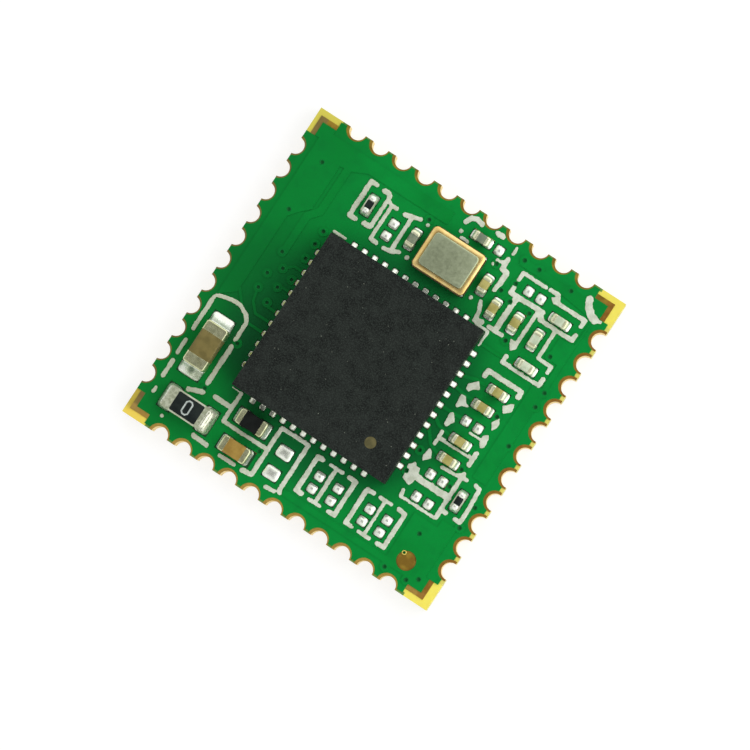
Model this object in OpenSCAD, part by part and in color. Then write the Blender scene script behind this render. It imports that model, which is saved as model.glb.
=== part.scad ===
// Castellated wireless circuit module: a square board with plated half-holes on its four edges,
// a leadless chip, a crystal in a metal-lidded can, small chip parts and bare solder lands.
// Frame: origin at the centre of the underside, +Z out of the component side,
// X and Y along the board edges. All sizes are in millimetres.

/* [Board] */
// Width of the board from each side of the chip to the board edge, on average
apron_w = 3.02; // [2.9:0.01:4]
// Thickness of the bare laminate
laminate_t = 0.72; // [0.4:0.02:1.6]
// Thickness of the outer copper
copper_t = 0.02; // [0.01:0.005:0.04]
// Thickness of the solder mask
mask_t = 0.03; // [0.02:0.005:0.04]
// Height of the legend ink above the mask
ink_t = 0.01; // [0.005:0.005:0.02]
// Distance by which the mask stays back from the board edge
mask_pullback = 0.065; // [0.02:0.005:0.15]
// Sideways error between the printed layers and the routed outline, along X
print_shift_x = -0.06; // [-0.12:0.01:0.12]
// The same error along Y
print_shift_y = 0.01; // [-0.12:0.01:0.12]
// Sideways error between the drilled half-holes and the routed outline, along X
hole_shift_x = -0.03; // [-0.06:0.01:0.06]

/* [Plated half-holes] */
// Least distance from a corner of the board to the first half-hole; as many follow as fit
pin_corner = 1.45; // [1.4:0.01:1.9]
// Distance from one half-hole to the next
pin_pitch = 0.9; // [0.86:0.01:0.92]
// Radius of the finished half-hole
pin_hole_r = 0.3; // [0.2:0.01:0.32]
// Thickness of the plating on the wall of the half-hole
plating_t = 0.03; // [0.02:0.005:0.05]
// Radius of the exposed land round the half-hole on the top
pin_land_r = 0.375; // [0.36:0.005:0.4]
// Length of the land under the board, from the board edge
pin_pad_l = 0.85; // [0.6:0.05:1.1]
// Width of the land under the board
pin_pad_w = 0.64; // [0.5:0.02:0.7]

/* [Corner lands] */
// Length of each leg of the bare corner, from the board edge
corner_leg = 0.9; // [0.85:0.05:1]
// Width of the exposed copper angle
corner_land_w = 0.17; // [0.1:0.01:0.22]
// Distance by which all copper stays back from the board edge
copper_pullback = 0.22; // [0.2:0.01:0.3]

/* [Vias] */
// Radius of the drilled and plated via hole
via_hole_r = 0.09; // [0.06:0.01:0.11]
// Thickness of the copper barrel in the via
via_wall_t = 0.02; // [0.01:0.005:0.03]
// Radius of the copper ring on the surface
via_pad_r = 0.17; // [0.15:0.01:0.2]
// Radius of the opening that is left in the mask over a via
via_vent_r = 0.06; // [0.04:0.01:0.08]

/* [Chip] */
// Side of the square package
chip_side = 5.96; // [5.8:0.02:6.4]
// Height of the package
chip_h = 0.85; // [0.5:0.05:1]
// Leads on each side
leads_per_side = 12; // [4:2:12]
// Distance from one lead to the next
lead_pitch = 0.4; // [0.38:0.01:0.45]
// Width of a lead
lead_w = 0.2; // [0.14:0.01:0.22]
// Length of a lead under the package
lead_l = 0.4; // [0.3:0.05:0.5]
// Thickness of the lead frame
lead_t = 0.2; // [0.1:0.02:0.25]
// Length of each lead's land outside the package
lead_land_out = 0.18; // [0.1:0.01:0.25]
// Side of the square heat pad under the package
heat_pad_side = 4.2; // [3:0.1:4.6]
// Radius of the mark beside the first lead
dot_r = 0.2; // [0.1:0.02:0.3]
// Distance from the package's side to the centre of that mark, along X
dot_inset_x = 1.09; // [0.5:0.01:1.2]
// The same distance along Y
dot_inset_y = 0.88; // [0.5:0.01:1.2]
// Depth of that mark
dot_depth = 0.015; // [0.01:0.005:0.05]
// Distance of the chip from the board's centre line, along X
chip_off_x = -0.36; // [-0.5:0.01:-0.3]
// The same distance along Y
chip_off_y = -0.3; // [-0.35:0.01:-0.2]

/* [Crystal] */
// Length of the can
crystal_l = 2.05; // [1.9:0.05:2.2]
// Width of the can
crystal_w = 1.6; // [1.5:0.05:1.7]
// Height of the ceramic base
crystal_base_h = 0.32; // [0.2:0.02:0.5]
// Height of the gold seal ring on the base
crystal_ring_h = 0.06; // [0.04:0.01:0.1]
// Thickness of the lid
crystal_lid_t = 0.08; // [0.06:0.01:0.15]
// Width of the ring left bare round the lid
crystal_rim = 0.15; // [0.08:0.01:0.2]
// Gap between the chip and the can
crystal_gap = 0.49; // [0.4:0.01:0.6]

/* [Bulk capacitor] */
// Length, with its ends
bulk_l = 1.6; // [1.5:0.05:1.7]
// Width
bulk_w = 0.8; // [0.7:0.05:0.85]
// Height
bulk_h = 0.8; // [0.5:0.05:0.9]
// Length of each metal end
bulk_band = 0.37; // [0.2:0.01:0.45]
// Distance by which it sits off the middle of its lands, along X
bulk_off = 0.06; // [-0.1:0.01:0.1]

/* [Jumper resistor] */
// Length, with its ends
jumper_l = 1.6; // [1.5:0.05:1.7]
// Width
jumper_w = 0.8; // [0.7:0.05:0.85]
// Height
jumper_h = 0.45; // [0.35:0.01:0.55]
// Length of each metal end
jumper_band = 0.3; // [0.2:0.01:0.4]
// Height of the figure on its coat
figure_h = 0.53; // [0.3:0.01:0.6]
// Width of that figure
figure_w = 0.33; // [0.2:0.01:0.4]
// Width of its stroke
figure_stroke = 0.06; // [0.03:0.01:0.08]

/* [Medium chip parts] */
// Length of the bypass capacitor and of the ferrite inductor
medium_l = 1.04; // [0.9:0.01:1.05]
// Their width
medium_w = 0.55; // [0.45:0.01:0.55]
// Their height
medium_h = 0.5; // [0.3:0.02:0.6]
// Length of each metal end
medium_band = 0.2; // [0.12:0.01:0.26]

/* [Small chip parts] */
// Length of a small capacitor, inductor or resistor
small_l = 0.6; // [0.55:0.01:0.65]
// Their width
small_w = 0.32; // [0.25:0.01:0.34]
// Height of a small capacitor or inductor
small_h = 0.3; // [0.2:0.01:0.35]
// Height of a small resistor
small_resistor_h = 0.23; // [0.18:0.01:0.3]
// Length of each metal end
small_band = 0.15; // [0.1:0.01:0.18]

/* [Lands and solder] */
// Length of the bulk capacitor's land
large_land_l = 0.8; // [0.6:0.05:0.8]
// Length of the jumper resistor's land
jumper_land_l = 0.5; // [0.4:0.02:0.6]
// Length of a medium land
medium_land_l = 0.45; // [0.3:0.01:0.5]
// Length of a small land
small_land_l = 0.32; // [0.25:0.01:0.34]
// Distance by which the bulk capacitor's land reaches past its end
large_land_out = 0.37; // [0.1:0.01:0.4]
// The same for the jumper resistor
jumper_land_out = 0.18; // [0.1:0.02:0.25]
// The same for a medium land
medium_land_out = 0.12; // [0.06:0.01:0.15]
// The same for a small land
small_land_out = 0.1; // [0.05:0.01:0.12]
// Extra width of a land on each side of the jumper resistor
jumper_land_side = 0.06; // [0.02:0.01:0.1]
// The same for every other land under a part
land_side = 0.01; // [0.005:0.005:0.05]
// Bare laminate between a land and the mask
mask_gap = 0.02; // [0.01:0.005:0.04]
// Gap between the legend ink and what it runs beside
ink_gap = 0.03; // [0.02:0.005:0.06]
// Thickness of the solder under a part
solder_t = 0.04; // [0.03:0.005:0.06]
// Height of the solder on the end of a part, as a share of the part's height
fillet_share = 0.6; // [0.3:0.05:0.8]
// Height of the solder left on a bare land
bare_solder_h = 0.08; // [0.04:0.01:0.12]
// Distance between the two lands of an empty small place
empty_small_pitch = 0.47; // [0.45:0.01:0.52]
// Distance between the two lands of the empty medium place
empty_medium_pitch = 0.79; // [0.7:0.01:0.85]
// Radius of the round land that a placing machine looks for
target_r = 0.31; // [0.2:0.01:0.4]

/* [Chip part shells] */
// Thickness of the metal on the ends of a chip part
end_t = 0.01; // [0.01:0.005:0.03]
// Radius of the tumbled edges of a ceramic block
tumble_r = 0.035; // [0.02:0.005:0.05]
// Thickness of the coat on a resistor
coat_t = 0.02; // [0.015:0.005:0.04]

/* [Hidden] */
$fn = 48;
eps = 0.01;

// Heights, from the underside up
z_laminate = mask_t;
z_top = z_laminate + laminate_t;
z_copper = z_top + copper_t;
z_mask = z_top + mask_t;
z_relief = z_copper + mask_t;
z_ink = z_relief + ink_t;
z_part = z_copper + solder_t;

// Board outline and what is printed on it
board_side = chip_side + 2 * apron_w;
half_board = board_side / 2;
pins_per_side = floor((board_side - 2 * pin_corner) / pin_pitch) + 1;
pin_drill_r = pin_hole_r + plating_t;
print_shift = [print_shift_x, print_shift_y];
mask_side = board_side - 2 * mask_pullback;
copper_half = half_board - copper_pullback;
angle_half = copper_half - corner_land_w;
pour_half = half_board - pin_land_r - 0.175;
corner_block = 0.5;
via_drill_r = via_hole_r + via_wall_t;

// Centre of the chip
CX = chip_off_x;
CY = chip_off_y;
lead_land_l = lead_l + lead_land_out;
lead_reach = chip_side / 2 + lead_land_out;

// Layout lines: two through the middle of the chip's place and one along each of its sides.
// Places all over the board are given from these. The chip itself sits a little off them.
layout_shift = [-0.06, 0.02];
layout_reach = chip_side / 2 + 0.02;
LX = CX + layout_shift[0];
LY = CY + layout_shift[1];
E = LX + layout_reach;
W = LX - layout_reach;
N = LY + layout_reach;
S = LY - layout_reach;

// Crystal, between the chip and the north edge of the board
XX = LX + 0.785;
XY = N + crystal_gap + crystal_w / 2;
XE = XX + crystal_l / 2;
XW = XX - crystal_l / 2;
XN = XY + crystal_w / 2;
XS = XY - crystal_w / 2;
crystal_land = [0.62, 0.52];
crystal_land_out = -0.03;

// Places of the parts: [x, y, turn]
BULK_LANDS_AT = [W - 1.415, S + 0.59, 90];
BULK_AT = BULK_LANDS_AT + [bulk_off, 0, 0];
JUMPER_AT = [W - 0.775, S - 1.46, 0];
BYPASS_AT = [W + 1.285, S - 1.75, 0];
FERRITE_AT = [W + 1.28, S - 0.70, 0];
CAPACITORS_AT = [
    [E + 1.345, LY - 1.21, 0],
    [E + 1.345, LY - 0.49, 0],
    [E + 1.345, LY + 0.85, 0],
    [E + 1.50, LY + 1.53, 0],
    [XX + 0.50, XN + 0.41, 0],
    [E + 0.72, N + 0.765, 90],
    [E - 0.15, N + 0.775, 90],
    [XE + 0.38, XY - 0.01, 90],
    [XW - 0.385, XY - 0.03, 90]
];
INDUCTORS_AT = [
    [E + 1.81, N - 0.25, 0],
    [E + 1.925, N + 1.60, 0],
    [E + 1.57, N + 0.665, 90]
];
RESISTORS_AT = [
    [E + 2.37, LY - 2.14, 90],
    [W + 0.56, N + 1.425, 90]
];

// Places that carry lands and solder but no part
EMPTY_SMALL_AT = [
    [E - 1.905, S - 1.195, 90],
    [E - 1.17, S - 1.195, 90],
    [E + 0.07, S - 1.185, 90],
    [E + 0.745, S - 1.185, 90],
    [E + 1.35, LY - 2.77, 0],
    [E + 1.34, LY - 1.90, 0],
    [E + 1.36, LY + 0.20, 0],
    [E + 0.755, N + 1.89, 0],
    [XW - 1.19, XY - 0.185, 90]
];
EMPTY_MEDIUM_AT = [W + 2.70, S - 1.335, 90];
LONE_LAND_AT = [XX + 1.185, XN + 0.40];
TARGET_AT = [E + 1.99, S - 1.71];

// Vias. The holes right beside the chip stay clear of the mask openings of its leads.
via_web = 0.02;
VE = CX + lead_reach + mask_gap + via_drill_r + via_web;
VW = CX - lead_reach - mask_gap - via_drill_r - via_web;
VIAS = [
    [E + 1.79, S - 1.52], [E + 1.87, S - 0.73], [E + 1.50, S - 2.26], [E + 2.33, S - 2.24],
    [E + 2.67, S - 2.00], [E + 2.87, LY - 2.85], [E + 2.93, LY - 2.03], [E + 2.75, LY + 0.27],
    [E + 2.78, LY + 1.82], [E + 2.78, LY + 2.37], [E + 1.87, LY - 1.22], [E + 1.85, LY - 1.90],
    [E + 1.90, LY + 0.87], [VE, LY - 1.43], [VE, LY - 2.23], [E - 0.15, N + 2.68],
    [E + 0.42, N + 2.68], [E + 1.68, N + 2.66], [E + 2.28, N + 0.47], [E + 0.76, N + 0.12],
    [E + 0.18, N + 1.27], [E + 0.93, N + 1.29], [E + 0.02, N + 1.87], [E - 0.27, N + 1.43],
    [XE + 0.32, XY + 0.79], [XW - 0.29, XY + 0.80], [LX - 1.03, S - 1.35], [W - 0.60, LY - 1.78],
    [W - 0.70, LY - 3.60], [W - 1.55, N + 1.77], [W - 1.62, N - 0.13], [W - 0.25, N - 0.13],
    [VW, N - 0.63], [VW, N - 1.20], [W - 1.03, LY + 1.57], [W - 0.70, LY + 1.12],
    [VW, LY + 0.96], [W - 1.06, LY + 0.72], [W - 0.51, LY + 0.50], [W - 1.05, LY + 0.16],
    [W - 0.52, LY - 0.11]
];

// Surface tracks: [width, points]
TRACKS = [
    [0.26, [[W - 0.70, N + 2.30], [W - 0.70, N + 0.37], [W - 0.99, N + 0.02], [W - 0.99, N - 1.40]]],
    [0.10, [[W - 0.70, LY + 1.12], [W - 0.42, CY + 1.40], [W - 0.10, CY + 1.40]]],
    [0.10, [[W - 0.51, LY + 0.50], [W - 0.38, CY + 0.60], [W - 0.10, CY + 0.60]]],
    [0.10, [[W - 0.52, LY - 0.11], [W - 0.40, CY - 0.20], [W - 0.10, CY - 0.20]]],
    [0.10, [[W - 1.05, LY + 0.16], [W - 0.95, LY - 0.30], [W - 0.65, CY - 0.60], [W - 0.10, CY - 0.60]]],
    [0.10, [[W - 1.55, LY - 0.20], [W - 1.20, LY - 0.60], [W - 0.80, CY - 1.00], [W - 0.10, CY - 1.00]]],
    [0.12, [[E + 0.20, CY + 1.40], [E + 0.65, LY + 1.53], [E + 0.95, LY + 1.53]]],
    [0.12, [[E + 0.20, CY + 1.00], [E + 0.55, LY + 0.90], [E + 0.90, LY + 0.90]]],
    [0.12, [[E + 0.20, CY + 0.20], [E + 0.90, LY + 0.20]]],
    [0.12, [[E + 0.20, CY - 0.20], [E + 0.45, LY - 0.40], [E + 0.90, LY - 0.49]]],
    [0.12, [[E + 0.20, CY - 0.60], [E + 0.55, LY - 1.05], [E + 0.90, LY - 1.21]]],
    [0.12, [[E + 0.20, N - 0.40], [E + 1.30, N - 0.40], [E + 1.50, N - 0.25]]]
];

// Edge of the bare field in which the parts stand, where the surface has no copper pour
FIELD = [
    [W - 0.98, N + 1.97], [W - 0.98, N + 0.27], [W - 1.25, N + 0.02], [W - 1.55, N - 0.35],
    [W - 1.55, LY - 0.33], [W - 2.10, LY - 0.78], [W - 2.40, LY - 0.78], [W - 2.40, S - 2.60],
    [W + 3.35, S - 2.60], [W + 3.35, S - 1.93], [E + 1.35, S - 1.93], [E + 1.35, S - 0.23],
    [E + 2.25, S - 0.23], [E + 2.25, LY - 2.93], [E + 2.95, LY - 2.93], [E + 2.95, LY - 1.23],
    [E + 2.30, LY - 1.23], [E + 2.30, LY + 2.35], [E + 2.62, LY + 2.45], [E + 2.62, N + 0.35],
    [E + 2.20, N + 0.42], [E + 2.20, N + 1.15], [E + 2.75, N + 1.22], [E + 2.75, N + 2.22],
    [E + 1.00, N + 2.45], [E - 0.25, N + 2.47], [E - 0.25, N + 3.10], [LX + 0.05, N + 3.10],
    [LX + 0.05, N + 2.27], [W - 0.05, N + 2.27], [W - 0.50, N + 2.05]
];

// Legend strokes: [width, points]
STROKES = [
    // round the small parts at the north-east corner of the chip
    [0.13, [[E + 0.04, N + 2.04], [E + 0.04, N + 2.31], [E + 0.93, N + 2.31]]],
    [0.16, [[E + 1.10, N + 2.32], [E + 1.40, N + 2.32], [E + 1.54, N + 2.08], [E + 2.59, N + 2.08],
        [E + 2.59, N + 1.84]]],
    [0.16, [[E + 0.04, N + 1.78], [E + 0.04, N + 1.55]]],
    [0.18, [[E + 0.04, N + 1.54], [E + 1.28, N + 1.56]]],
    [0.20, [[E + 1.20, N + 1.52], [E + 1.37, N + 1.33]]],
    [0.20, [[E + 0.295, N + 1.53], [E + 0.295, N + 0.21]]],
    [0.14, [[E + 0.04, N + 0.20], [E + 0.57, N + 0.20]]],
    [0.14, [[E + 1.13, N + 1.52], [E + 1.13, N + 0.23]]],
    [0.14, [[E + 1.37, N + 1.31], [E + 2.60, N + 1.31], [E + 2.60, N + 1.52]]],
    [0.13, [[E + 1.97, N + 1.30], [E + 1.97, N + 0.21], [E + 2.49, N + 0.21], [E + 2.49, N - 0.02]]],
    [0.15, [[E + 1.06, N - 0.30], [E + 1.06, N - 0.52], [E + 2.49, N - 0.52], [E + 2.49, N - 0.28]]],
    [0.25, [[E + 2.34, N + 2.76], [E + 2.46, N + 2.52], [E + 2.66, N + 2.34], [E + 2.86, N + 2.27]]],
    [0.12, [[E + 2.86, N + 2.27], [E + 3.04, N + 2.31]]],
    // east column
    [0.18, [[E + 0.82, LY + 1.78], [E + 0.82, LY + 1.98], [E + 2.13, LY + 1.98], [E + 2.13, LY + 1.78]]],
    [0.10, [[E + 1.45, LY - 0.06], [E + 2.00, LY - 0.06]]],
    [0.13, [[E + 0.65, LY - 0.52], [E + 0.66, LY - 0.98]]],
    [0.13, [[E + 0.65, LY - 0.74], [E + 2.00, LY - 0.73]]],
    [0.17, [[E + 2.00, LY - 0.52], [E + 2.00, LY - 0.95]]],
    [0.12, [[E + 1.30, LY - 1.50], [E + 2.00, LY - 1.45]]],
    [0.15, [[E + 2.02, LY - 1.30], [E + 2.02, LY - 3.00]]],
    [0.15, [[E + 2.02, LY - 1.42], [E + 2.20, LY - 1.42]]],
    [0.15, [[E + 2.02, LY - 2.68], [E + 2.22, LY - 2.68]]],
    [0.25, [[E + 0.65, LY - 2.22], [E + 2.00, LY - 2.22]]],
    [0.12, [[E + 0.63, LY - 2.82], [E + 0.68, LY - 3.03], [E + 2.00, LY - 3.03]]],
    [0.15, [[E + 2.55, LY - 1.41], [E + 2.73, LY - 1.45], [E + 2.78, LY - 2.20], [E + 2.78, LY - 2.72],
        [E + 2.58, LY - 2.70]]],
    // south row of brackets
    [0.16, [[E - 2.12, S - 0.44], [E - 2.32, S - 0.44], [E - 2.32, S - 1.76], [E - 2.12, S - 1.76]]],
    [0.14, [[E - 1.576, S - 0.50], [E - 1.576, S - 1.70]]],
    [0.13, [[E - 1.81, S - 0.44], [E - 1.35, S - 0.44]]],
    [0.13, [[E - 1.79, S - 1.77], [E - 1.38, S - 1.77]]],
    [0.16, [[E - 1.06, S - 0.44], [E - 0.82, S - 0.46], [E - 0.81, S - 1.76], [E - 1.05, S - 1.76]]],
    [0.16, [[E - 0.12, S - 0.44], [E - 0.36, S - 0.46], [E - 0.37, S - 1.76], [E - 0.13, S - 1.76]]],
    [0.13, [[E + 0.346, S - 0.50], [E + 0.346, S - 1.70]]],
    [0.13, [[E + 0.14, S - 0.44], [E + 0.56, S - 0.44]]],
    [0.14, [[E + 0.14, S - 1.77], [E + 0.56, S - 1.77]]],
    [0.16, [[E + 0.87, S - 0.44], [E + 1.12, S - 0.46], [E + 1.13, S - 1.76], [E + 0.90, S - 1.76]]],
    // box round the empty medium place
    [0.15, [[W + 3.27, S - 2.12], [W + 3.22, S - 2.05], [W + 3.22, S - 0.293], [W + 2.17, S - 0.293],
        [W + 2.17, S - 2.12]]],
    [0.17, [[W + 2.17, S - 2.14], [W + 1.83, S - 2.17]]],
    [0.14, [[W + 2.78, S - 2.21], [W + 3.10, S - 2.18]]],
    // round the ferrite inductor and the bypass capacitor
    [0.14, [[W + 0.42, S - 0.05], [W + 0.42, S - 1.15]]],
    [0.15, [[W + 0.42, S - 1.165], [W + 2.15, S - 1.165]]],
    [0.17, [[W - 0.245, S - 0.65], [W + 0.40, S - 0.65]]],
    [0.14, [[W + 0.93, S - 2.176], [W + 1.50, S - 2.176]]],
    [0.16, [[W - 0.15, S - 2.10], [W + 0.38, S - 2.13]]],
    // round the bulk capacitor
    [0.14, [[W - 2.10, LY - 0.90], [W - 2.02, LY - 0.80], [W - 1.78, LY - 0.72], [W - 1.58, LY - 0.67],
        [W - 1.23, LY - 0.65], [W - 0.88, LY - 0.82], [W - 0.73, LY - 1.02], [W - 0.73, LY - 1.72]]],
    [0.17, [[W - 0.71, LY - 1.97], [W - 0.71, LY - 3.40]]],
    [0.17, [[W - 0.68, LY - 3.74], [W - 1.13, LY - 3.92]]],
    [0.14, [[W - 2.10, LY - 1.00], [W - 2.10, LY - 2.15]]],
    [0.14, [[W - 2.10, LY - 2.60], [W - 2.10, LY - 3.10]]],
    [0.14, [[W - 2.09, LY - 3.40], [W - 2.09, LY - 4.00]]],
    [0.12, [[W - 2.07, LY - 4.45], [W - 2.07, LY - 4.60]]],
    // chip corner marks
    [0.10, [[W + 0.04, N + 0.065], [W + 0.49, N + 0.065]]],
    [0.10, [[E - 0.35, N + 0.06], [E + 0.10, N + 0.06], [E + 0.10, N - 0.48]]],
    [0.06, [[W + 0.05, S - 0.065], [W + 0.31, S - 0.065]]],
    // brackets west of the crystal
    [0.165, [[W + 0.40, N + 2.12], [W + 0.17, N + 2.12], [W + 0.17, N + 0.80], [W + 0.40, N + 0.80]]],
    [0.17, [[W + 0.72, N + 2.09], [W + 0.88, N + 2.09], [W + 0.96, N + 2.02]]],
    [0.14, [[W + 0.96, N + 2.06], [W + 0.96, N + 0.86]]],
    [0.16, [[W + 0.72, N + 0.83], [W + 0.94, N + 0.84]]],
    [0.13, [[W + 0.98, N + 1.93], [W + 1.18, N + 1.80], [W + 1.18, N + 0.55]]],
    [0.15, [[W + 1.19, N + 0.52], [W + 1.40, N + 0.505]]],
    [0.13, [[W + 1.18, N + 1.815], [W + 1.38, N + 1.815]]],
    [0.15, [[W + 1.71, N + 1.81], [W + 1.95, N + 1.86], [W + 2.22, N + 1.95]]],
    [0.125, [[W + 1.96, N + 1.84], [W + 1.96, N + 0.55]]],
    [0.15, [[W + 1.71, N + 0.49], [W + 1.95, N + 0.52], [W + 2.22, N + 0.65]]],
    // round the crystal and the part north of it
    [0.17, [[XX - 0.26, XN + 0.60], [XX - 0.18, XN + 0.80], [XX + 0.02, XN + 0.88], [XX + 0.24, XN + 0.82]]],
    [0.13, [[XX - 0.10, XN + 0.08], [XX + 0.14, XN + 0.08]]],
    [0.19, [[XX + 0.84, XN + 0.85], [XX + 1.02, XN + 0.86]]],
    [0.11, [[XX + 1.63, XN + 0.78], [XX + 1.63, XN + 0.56]]],
    [0.17, [[XX + 1.585, XN + 0.31], [XX + 1.585, XN + 0.03]]],
    [0.13, [[XX + 1.30, XN + 0.12], [XX + 1.57, XN + 0.13]]],
    [0.18, [[XX + 1.59, XN - 0.05], [XX + 1.78, XN - 0.07], [XX + 1.80, XN - 0.14], [XX + 1.80, XN - 0.50]]],
    [0.13, [[XX + 1.785, XN - 0.55], [XX + 1.755, XN - 0.77]]],
    [0.14, [[XX + 1.58, XS + 0.28], [XX + 1.72, XS - 0.02], [XX + 1.76, XS - 0.38]]],
    [0.22, [[XX + 1.84, XS - 0.34], [XX + 1.96, XS - 0.30]]]
];

// Legend patches with their own outline
PATCHES = [
    [[E + 1.22, N + 2.14], [E + 1.38, N + 2.20], [E + 1.56, N + 2.15], [E + 1.56, N + 2.03],
        [E + 1.42, N + 1.98]],
    [[E + 0.87, N + 0.26], [E + 1.19, N + 0.26], [E + 1.20, N + 0.08], [E + 1.08, N - 0.08],
        [E + 1.02, N - 0.06]],
    [[E + 0.50, LY + 1.26], [E + 0.77, LY + 1.54], [E + 0.94, LY + 1.30], [E + 0.76, LY + 1.20],
        [E + 0.66, LY + 1.04], [E + 0.54, LY + 1.07]],
    [[E + 1.86, LY + 1.27], [E + 2.16, LY + 1.54], [E + 2.24, LY + 1.27], [E + 2.12, LY + 1.16],
        [E + 2.00, LY + 1.04]],
    [[E + 0.50, LY + 0.86], [E + 0.66, LY + 0.88], [E + 0.82, LY + 0.68], [E + 0.94, LY + 0.62],
        [E + 0.74, LY + 0.54], [E + 0.62, LY + 0.38], [E + 0.54, LY + 0.44]],
    [[E + 2.00, LY + 0.88], [E + 2.10, LY + 0.70], [E + 2.10, LY + 0.56], [E + 2.00, LY + 0.38],
        [E + 1.86, LY + 0.62]],
    [[E + 0.54, LY + 0.18], [E + 0.64, LY + 0.20], [E + 0.82, LY - 0.03], [E + 0.68, LY - 0.32],
        [E + 0.56, LY - 0.28]],
    [[E + 2.00, LY + 0.22], [E + 2.10, LY + 0.07], [E + 2.10, LY - 0.20], [E + 1.98, LY - 0.31],
        [E + 1.86, LY - 0.12], [E + 1.86, LY + 0.10]],
    [[E + 0.62, LY - 1.20], [E + 0.72, LY - 1.24], [E + 0.84, LY - 1.46], [E + 0.70, LY - 1.60],
        [E + 0.64, LY - 1.70], [E + 0.54, LY - 1.50]],
    [[E + 1.80, LY - 1.42], [E + 2.02, LY - 1.22], [E + 2.20, LY - 1.44], [E + 1.96, LY - 1.52]],
    [[E + 0.30, LY - 2.02], [E + 0.48, LY - 1.83], [E + 0.58, LY - 1.93], [E + 0.70, LY - 1.92],
        [E + 0.76, LY - 2.10], [E + 0.76, LY - 2.46], [E + 0.68, LY - 2.58], [E + 0.40, LY - 2.50]]
];

// Legend dots: [x, y, radius]
DOTS = [
    [XW - 0.22, XN - 0.164, 0.07], [XW - 0.22, XS + 0.156, 0.08], [XE + 0.22, XS + 0.20, 0.08],
    [XE + 0.22, XN - 0.065, 0.06],
    [XW + 0.79, XN + 0.27, 0.08], [W - 1.38, S - 2.13, 0.07]
];

small_names = concat(
    [for (i = [1:len(CAPACITORS_AT)]) str("small_capacitor_", i)],
    [for (i = [1:len(INDUCTORS_AT)]) str("small_inductor_", i)],
    [for (i = [1:len(RESISTORS_AT)]) str("small_resistor_", i)]
);

// ---------- Helpers ----------

// Rectangle with round corners, centred
module round_rect(l, w, r) {
    square([l - 2 * r, w], center = true);
    square([l, w - 2 * r], center = true);
    for (x = [-1, 1], y = [-1, 1])
        translate([x * (l / 2 - r), y * (w / 2 - r)]) circle(r);
}

// Block with round edges all over, centred on X and Y and standing on z = 0
module tumbled_block(l, w, h, r) {
    intersection() {
        linear_extrude(h) round_rect(l, w, r);
        translate([0, 0, h / 2])
            rotate([90, 0, 0]) linear_extrude(w + eps, center = true) round_rect(l, h, r);
        translate([0, 0, h / 2])
            rotate([90, 0, 90]) linear_extrude(l + eps, center = true) round_rect(w, h, r);
    }
}

// Straight line of width w with round ends
module stroke(w, a, b) {
    length = norm(b - a);
    translate(a) rotate(atan2(b[1] - a[1], b[0] - a[0])) translate([0, -w / 2]) square([length, w]);
}

// Line of width w through all the points, round at each of them
module polyline(w, points) {
    for (i = [0:len(points) - 2]) stroke(w, points[i], points[i + 1]);
    for (p = points) translate(p) circle(w / 2, $fn = 24);
}

// Copies of the children at each half-hole, with +X pointing out of the board
module at_pins() {
    for (side = [0:3], k = [0:pins_per_side - 1])
        rotate(90 * side) translate([half_board, (k - (pins_per_side - 1) / 2) * pin_pitch]) children();
}

// The same where the half-holes are drilled
module at_holes() {
    translate([hole_shift_x, 0]) at_pins() children();
}

// Copies of the children at each chip lead, with +X pointing out of the package
module at_leads() {
    translate([CX, CY])
        for (side = [0:3], k = [0:leads_per_side - 1])
            rotate(90 * side)
                translate([chip_side / 2, (k - (leads_per_side - 1) / 2) * lead_pitch])
                    children();
}

// Children at a place [x, y, turn], on top of the solder
module at_part(place) {
    translate([place[0], place[1], z_part]) rotate(place[2]) children();
}

// Children at both ends of a part of length l, with +X pointing away from the part
module at_ends(l) {
    for (turn = [0, 180]) rotate(turn) translate([l / 2, 0]) children();
}

// ---------- Plans of the printed layers ----------

module board_plan() {
    difference() {
        square(board_side, center = true);
        at_holes() circle(pin_drill_r);
    }
}

module open_board_plan() {
    difference() {
        square(board_side, center = true);
        at_holes() circle(pin_hole_r);
    }
}

// Lands of the half-holes under the board, drawn on past its edge
module pin_pad_plan(grow = 0) {
    at_holes()
        translate([(pin_hole_r - pin_pad_l) / 2, 0])
            square([pin_pad_l + pin_hole_r + 2 * grow, pin_pad_w + 2 * grow], center = true);
}

module pin_land_plan() {
    intersection() {
        open_board_plan();
        translate(print_shift) at_pins() circle(pin_land_r);
    }
}

// The square at each corner of the board from which the mask is left out
module corner_squares() {
    for (x = [-1, 1], y = [-1, 1])
        translate([x * (half_board - corner_leg / 2), y * (half_board - corner_leg / 2)])
            square(corner_leg + eps, center = true);
}

module corner_opening_plan() {
    translate(print_shift)
        difference() {
            corner_squares();
            square(2 * angle_half, center = true);
        }
}

module corner_land_plan() {
    intersection() {
        corner_opening_plan();
        translate(print_shift) square(2 * copper_half, center = true);
    }
}

// Pair of lands for a part of length l: each land is land_l long and reaches out past the part
module land_pair(l, w, land_l, out, side, grow = 0) {
    at_ends(l)
        translate([out - land_l / 2, 0])
            square([land_l + 2 * grow, w + 2 * side + 2 * grow], center = true);
}

module medium_land_pair(grow = 0) {
    land_pair(medium_l, medium_w, medium_land_l, medium_land_out, land_side, grow);
}

module small_land_pair(grow = 0) {
    land_pair(small_l, small_w, small_land_l, small_land_out, land_side, grow);
}

module land_at(place) {
    translate([place[0], place[1]]) rotate(place[2]) children();
}

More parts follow.
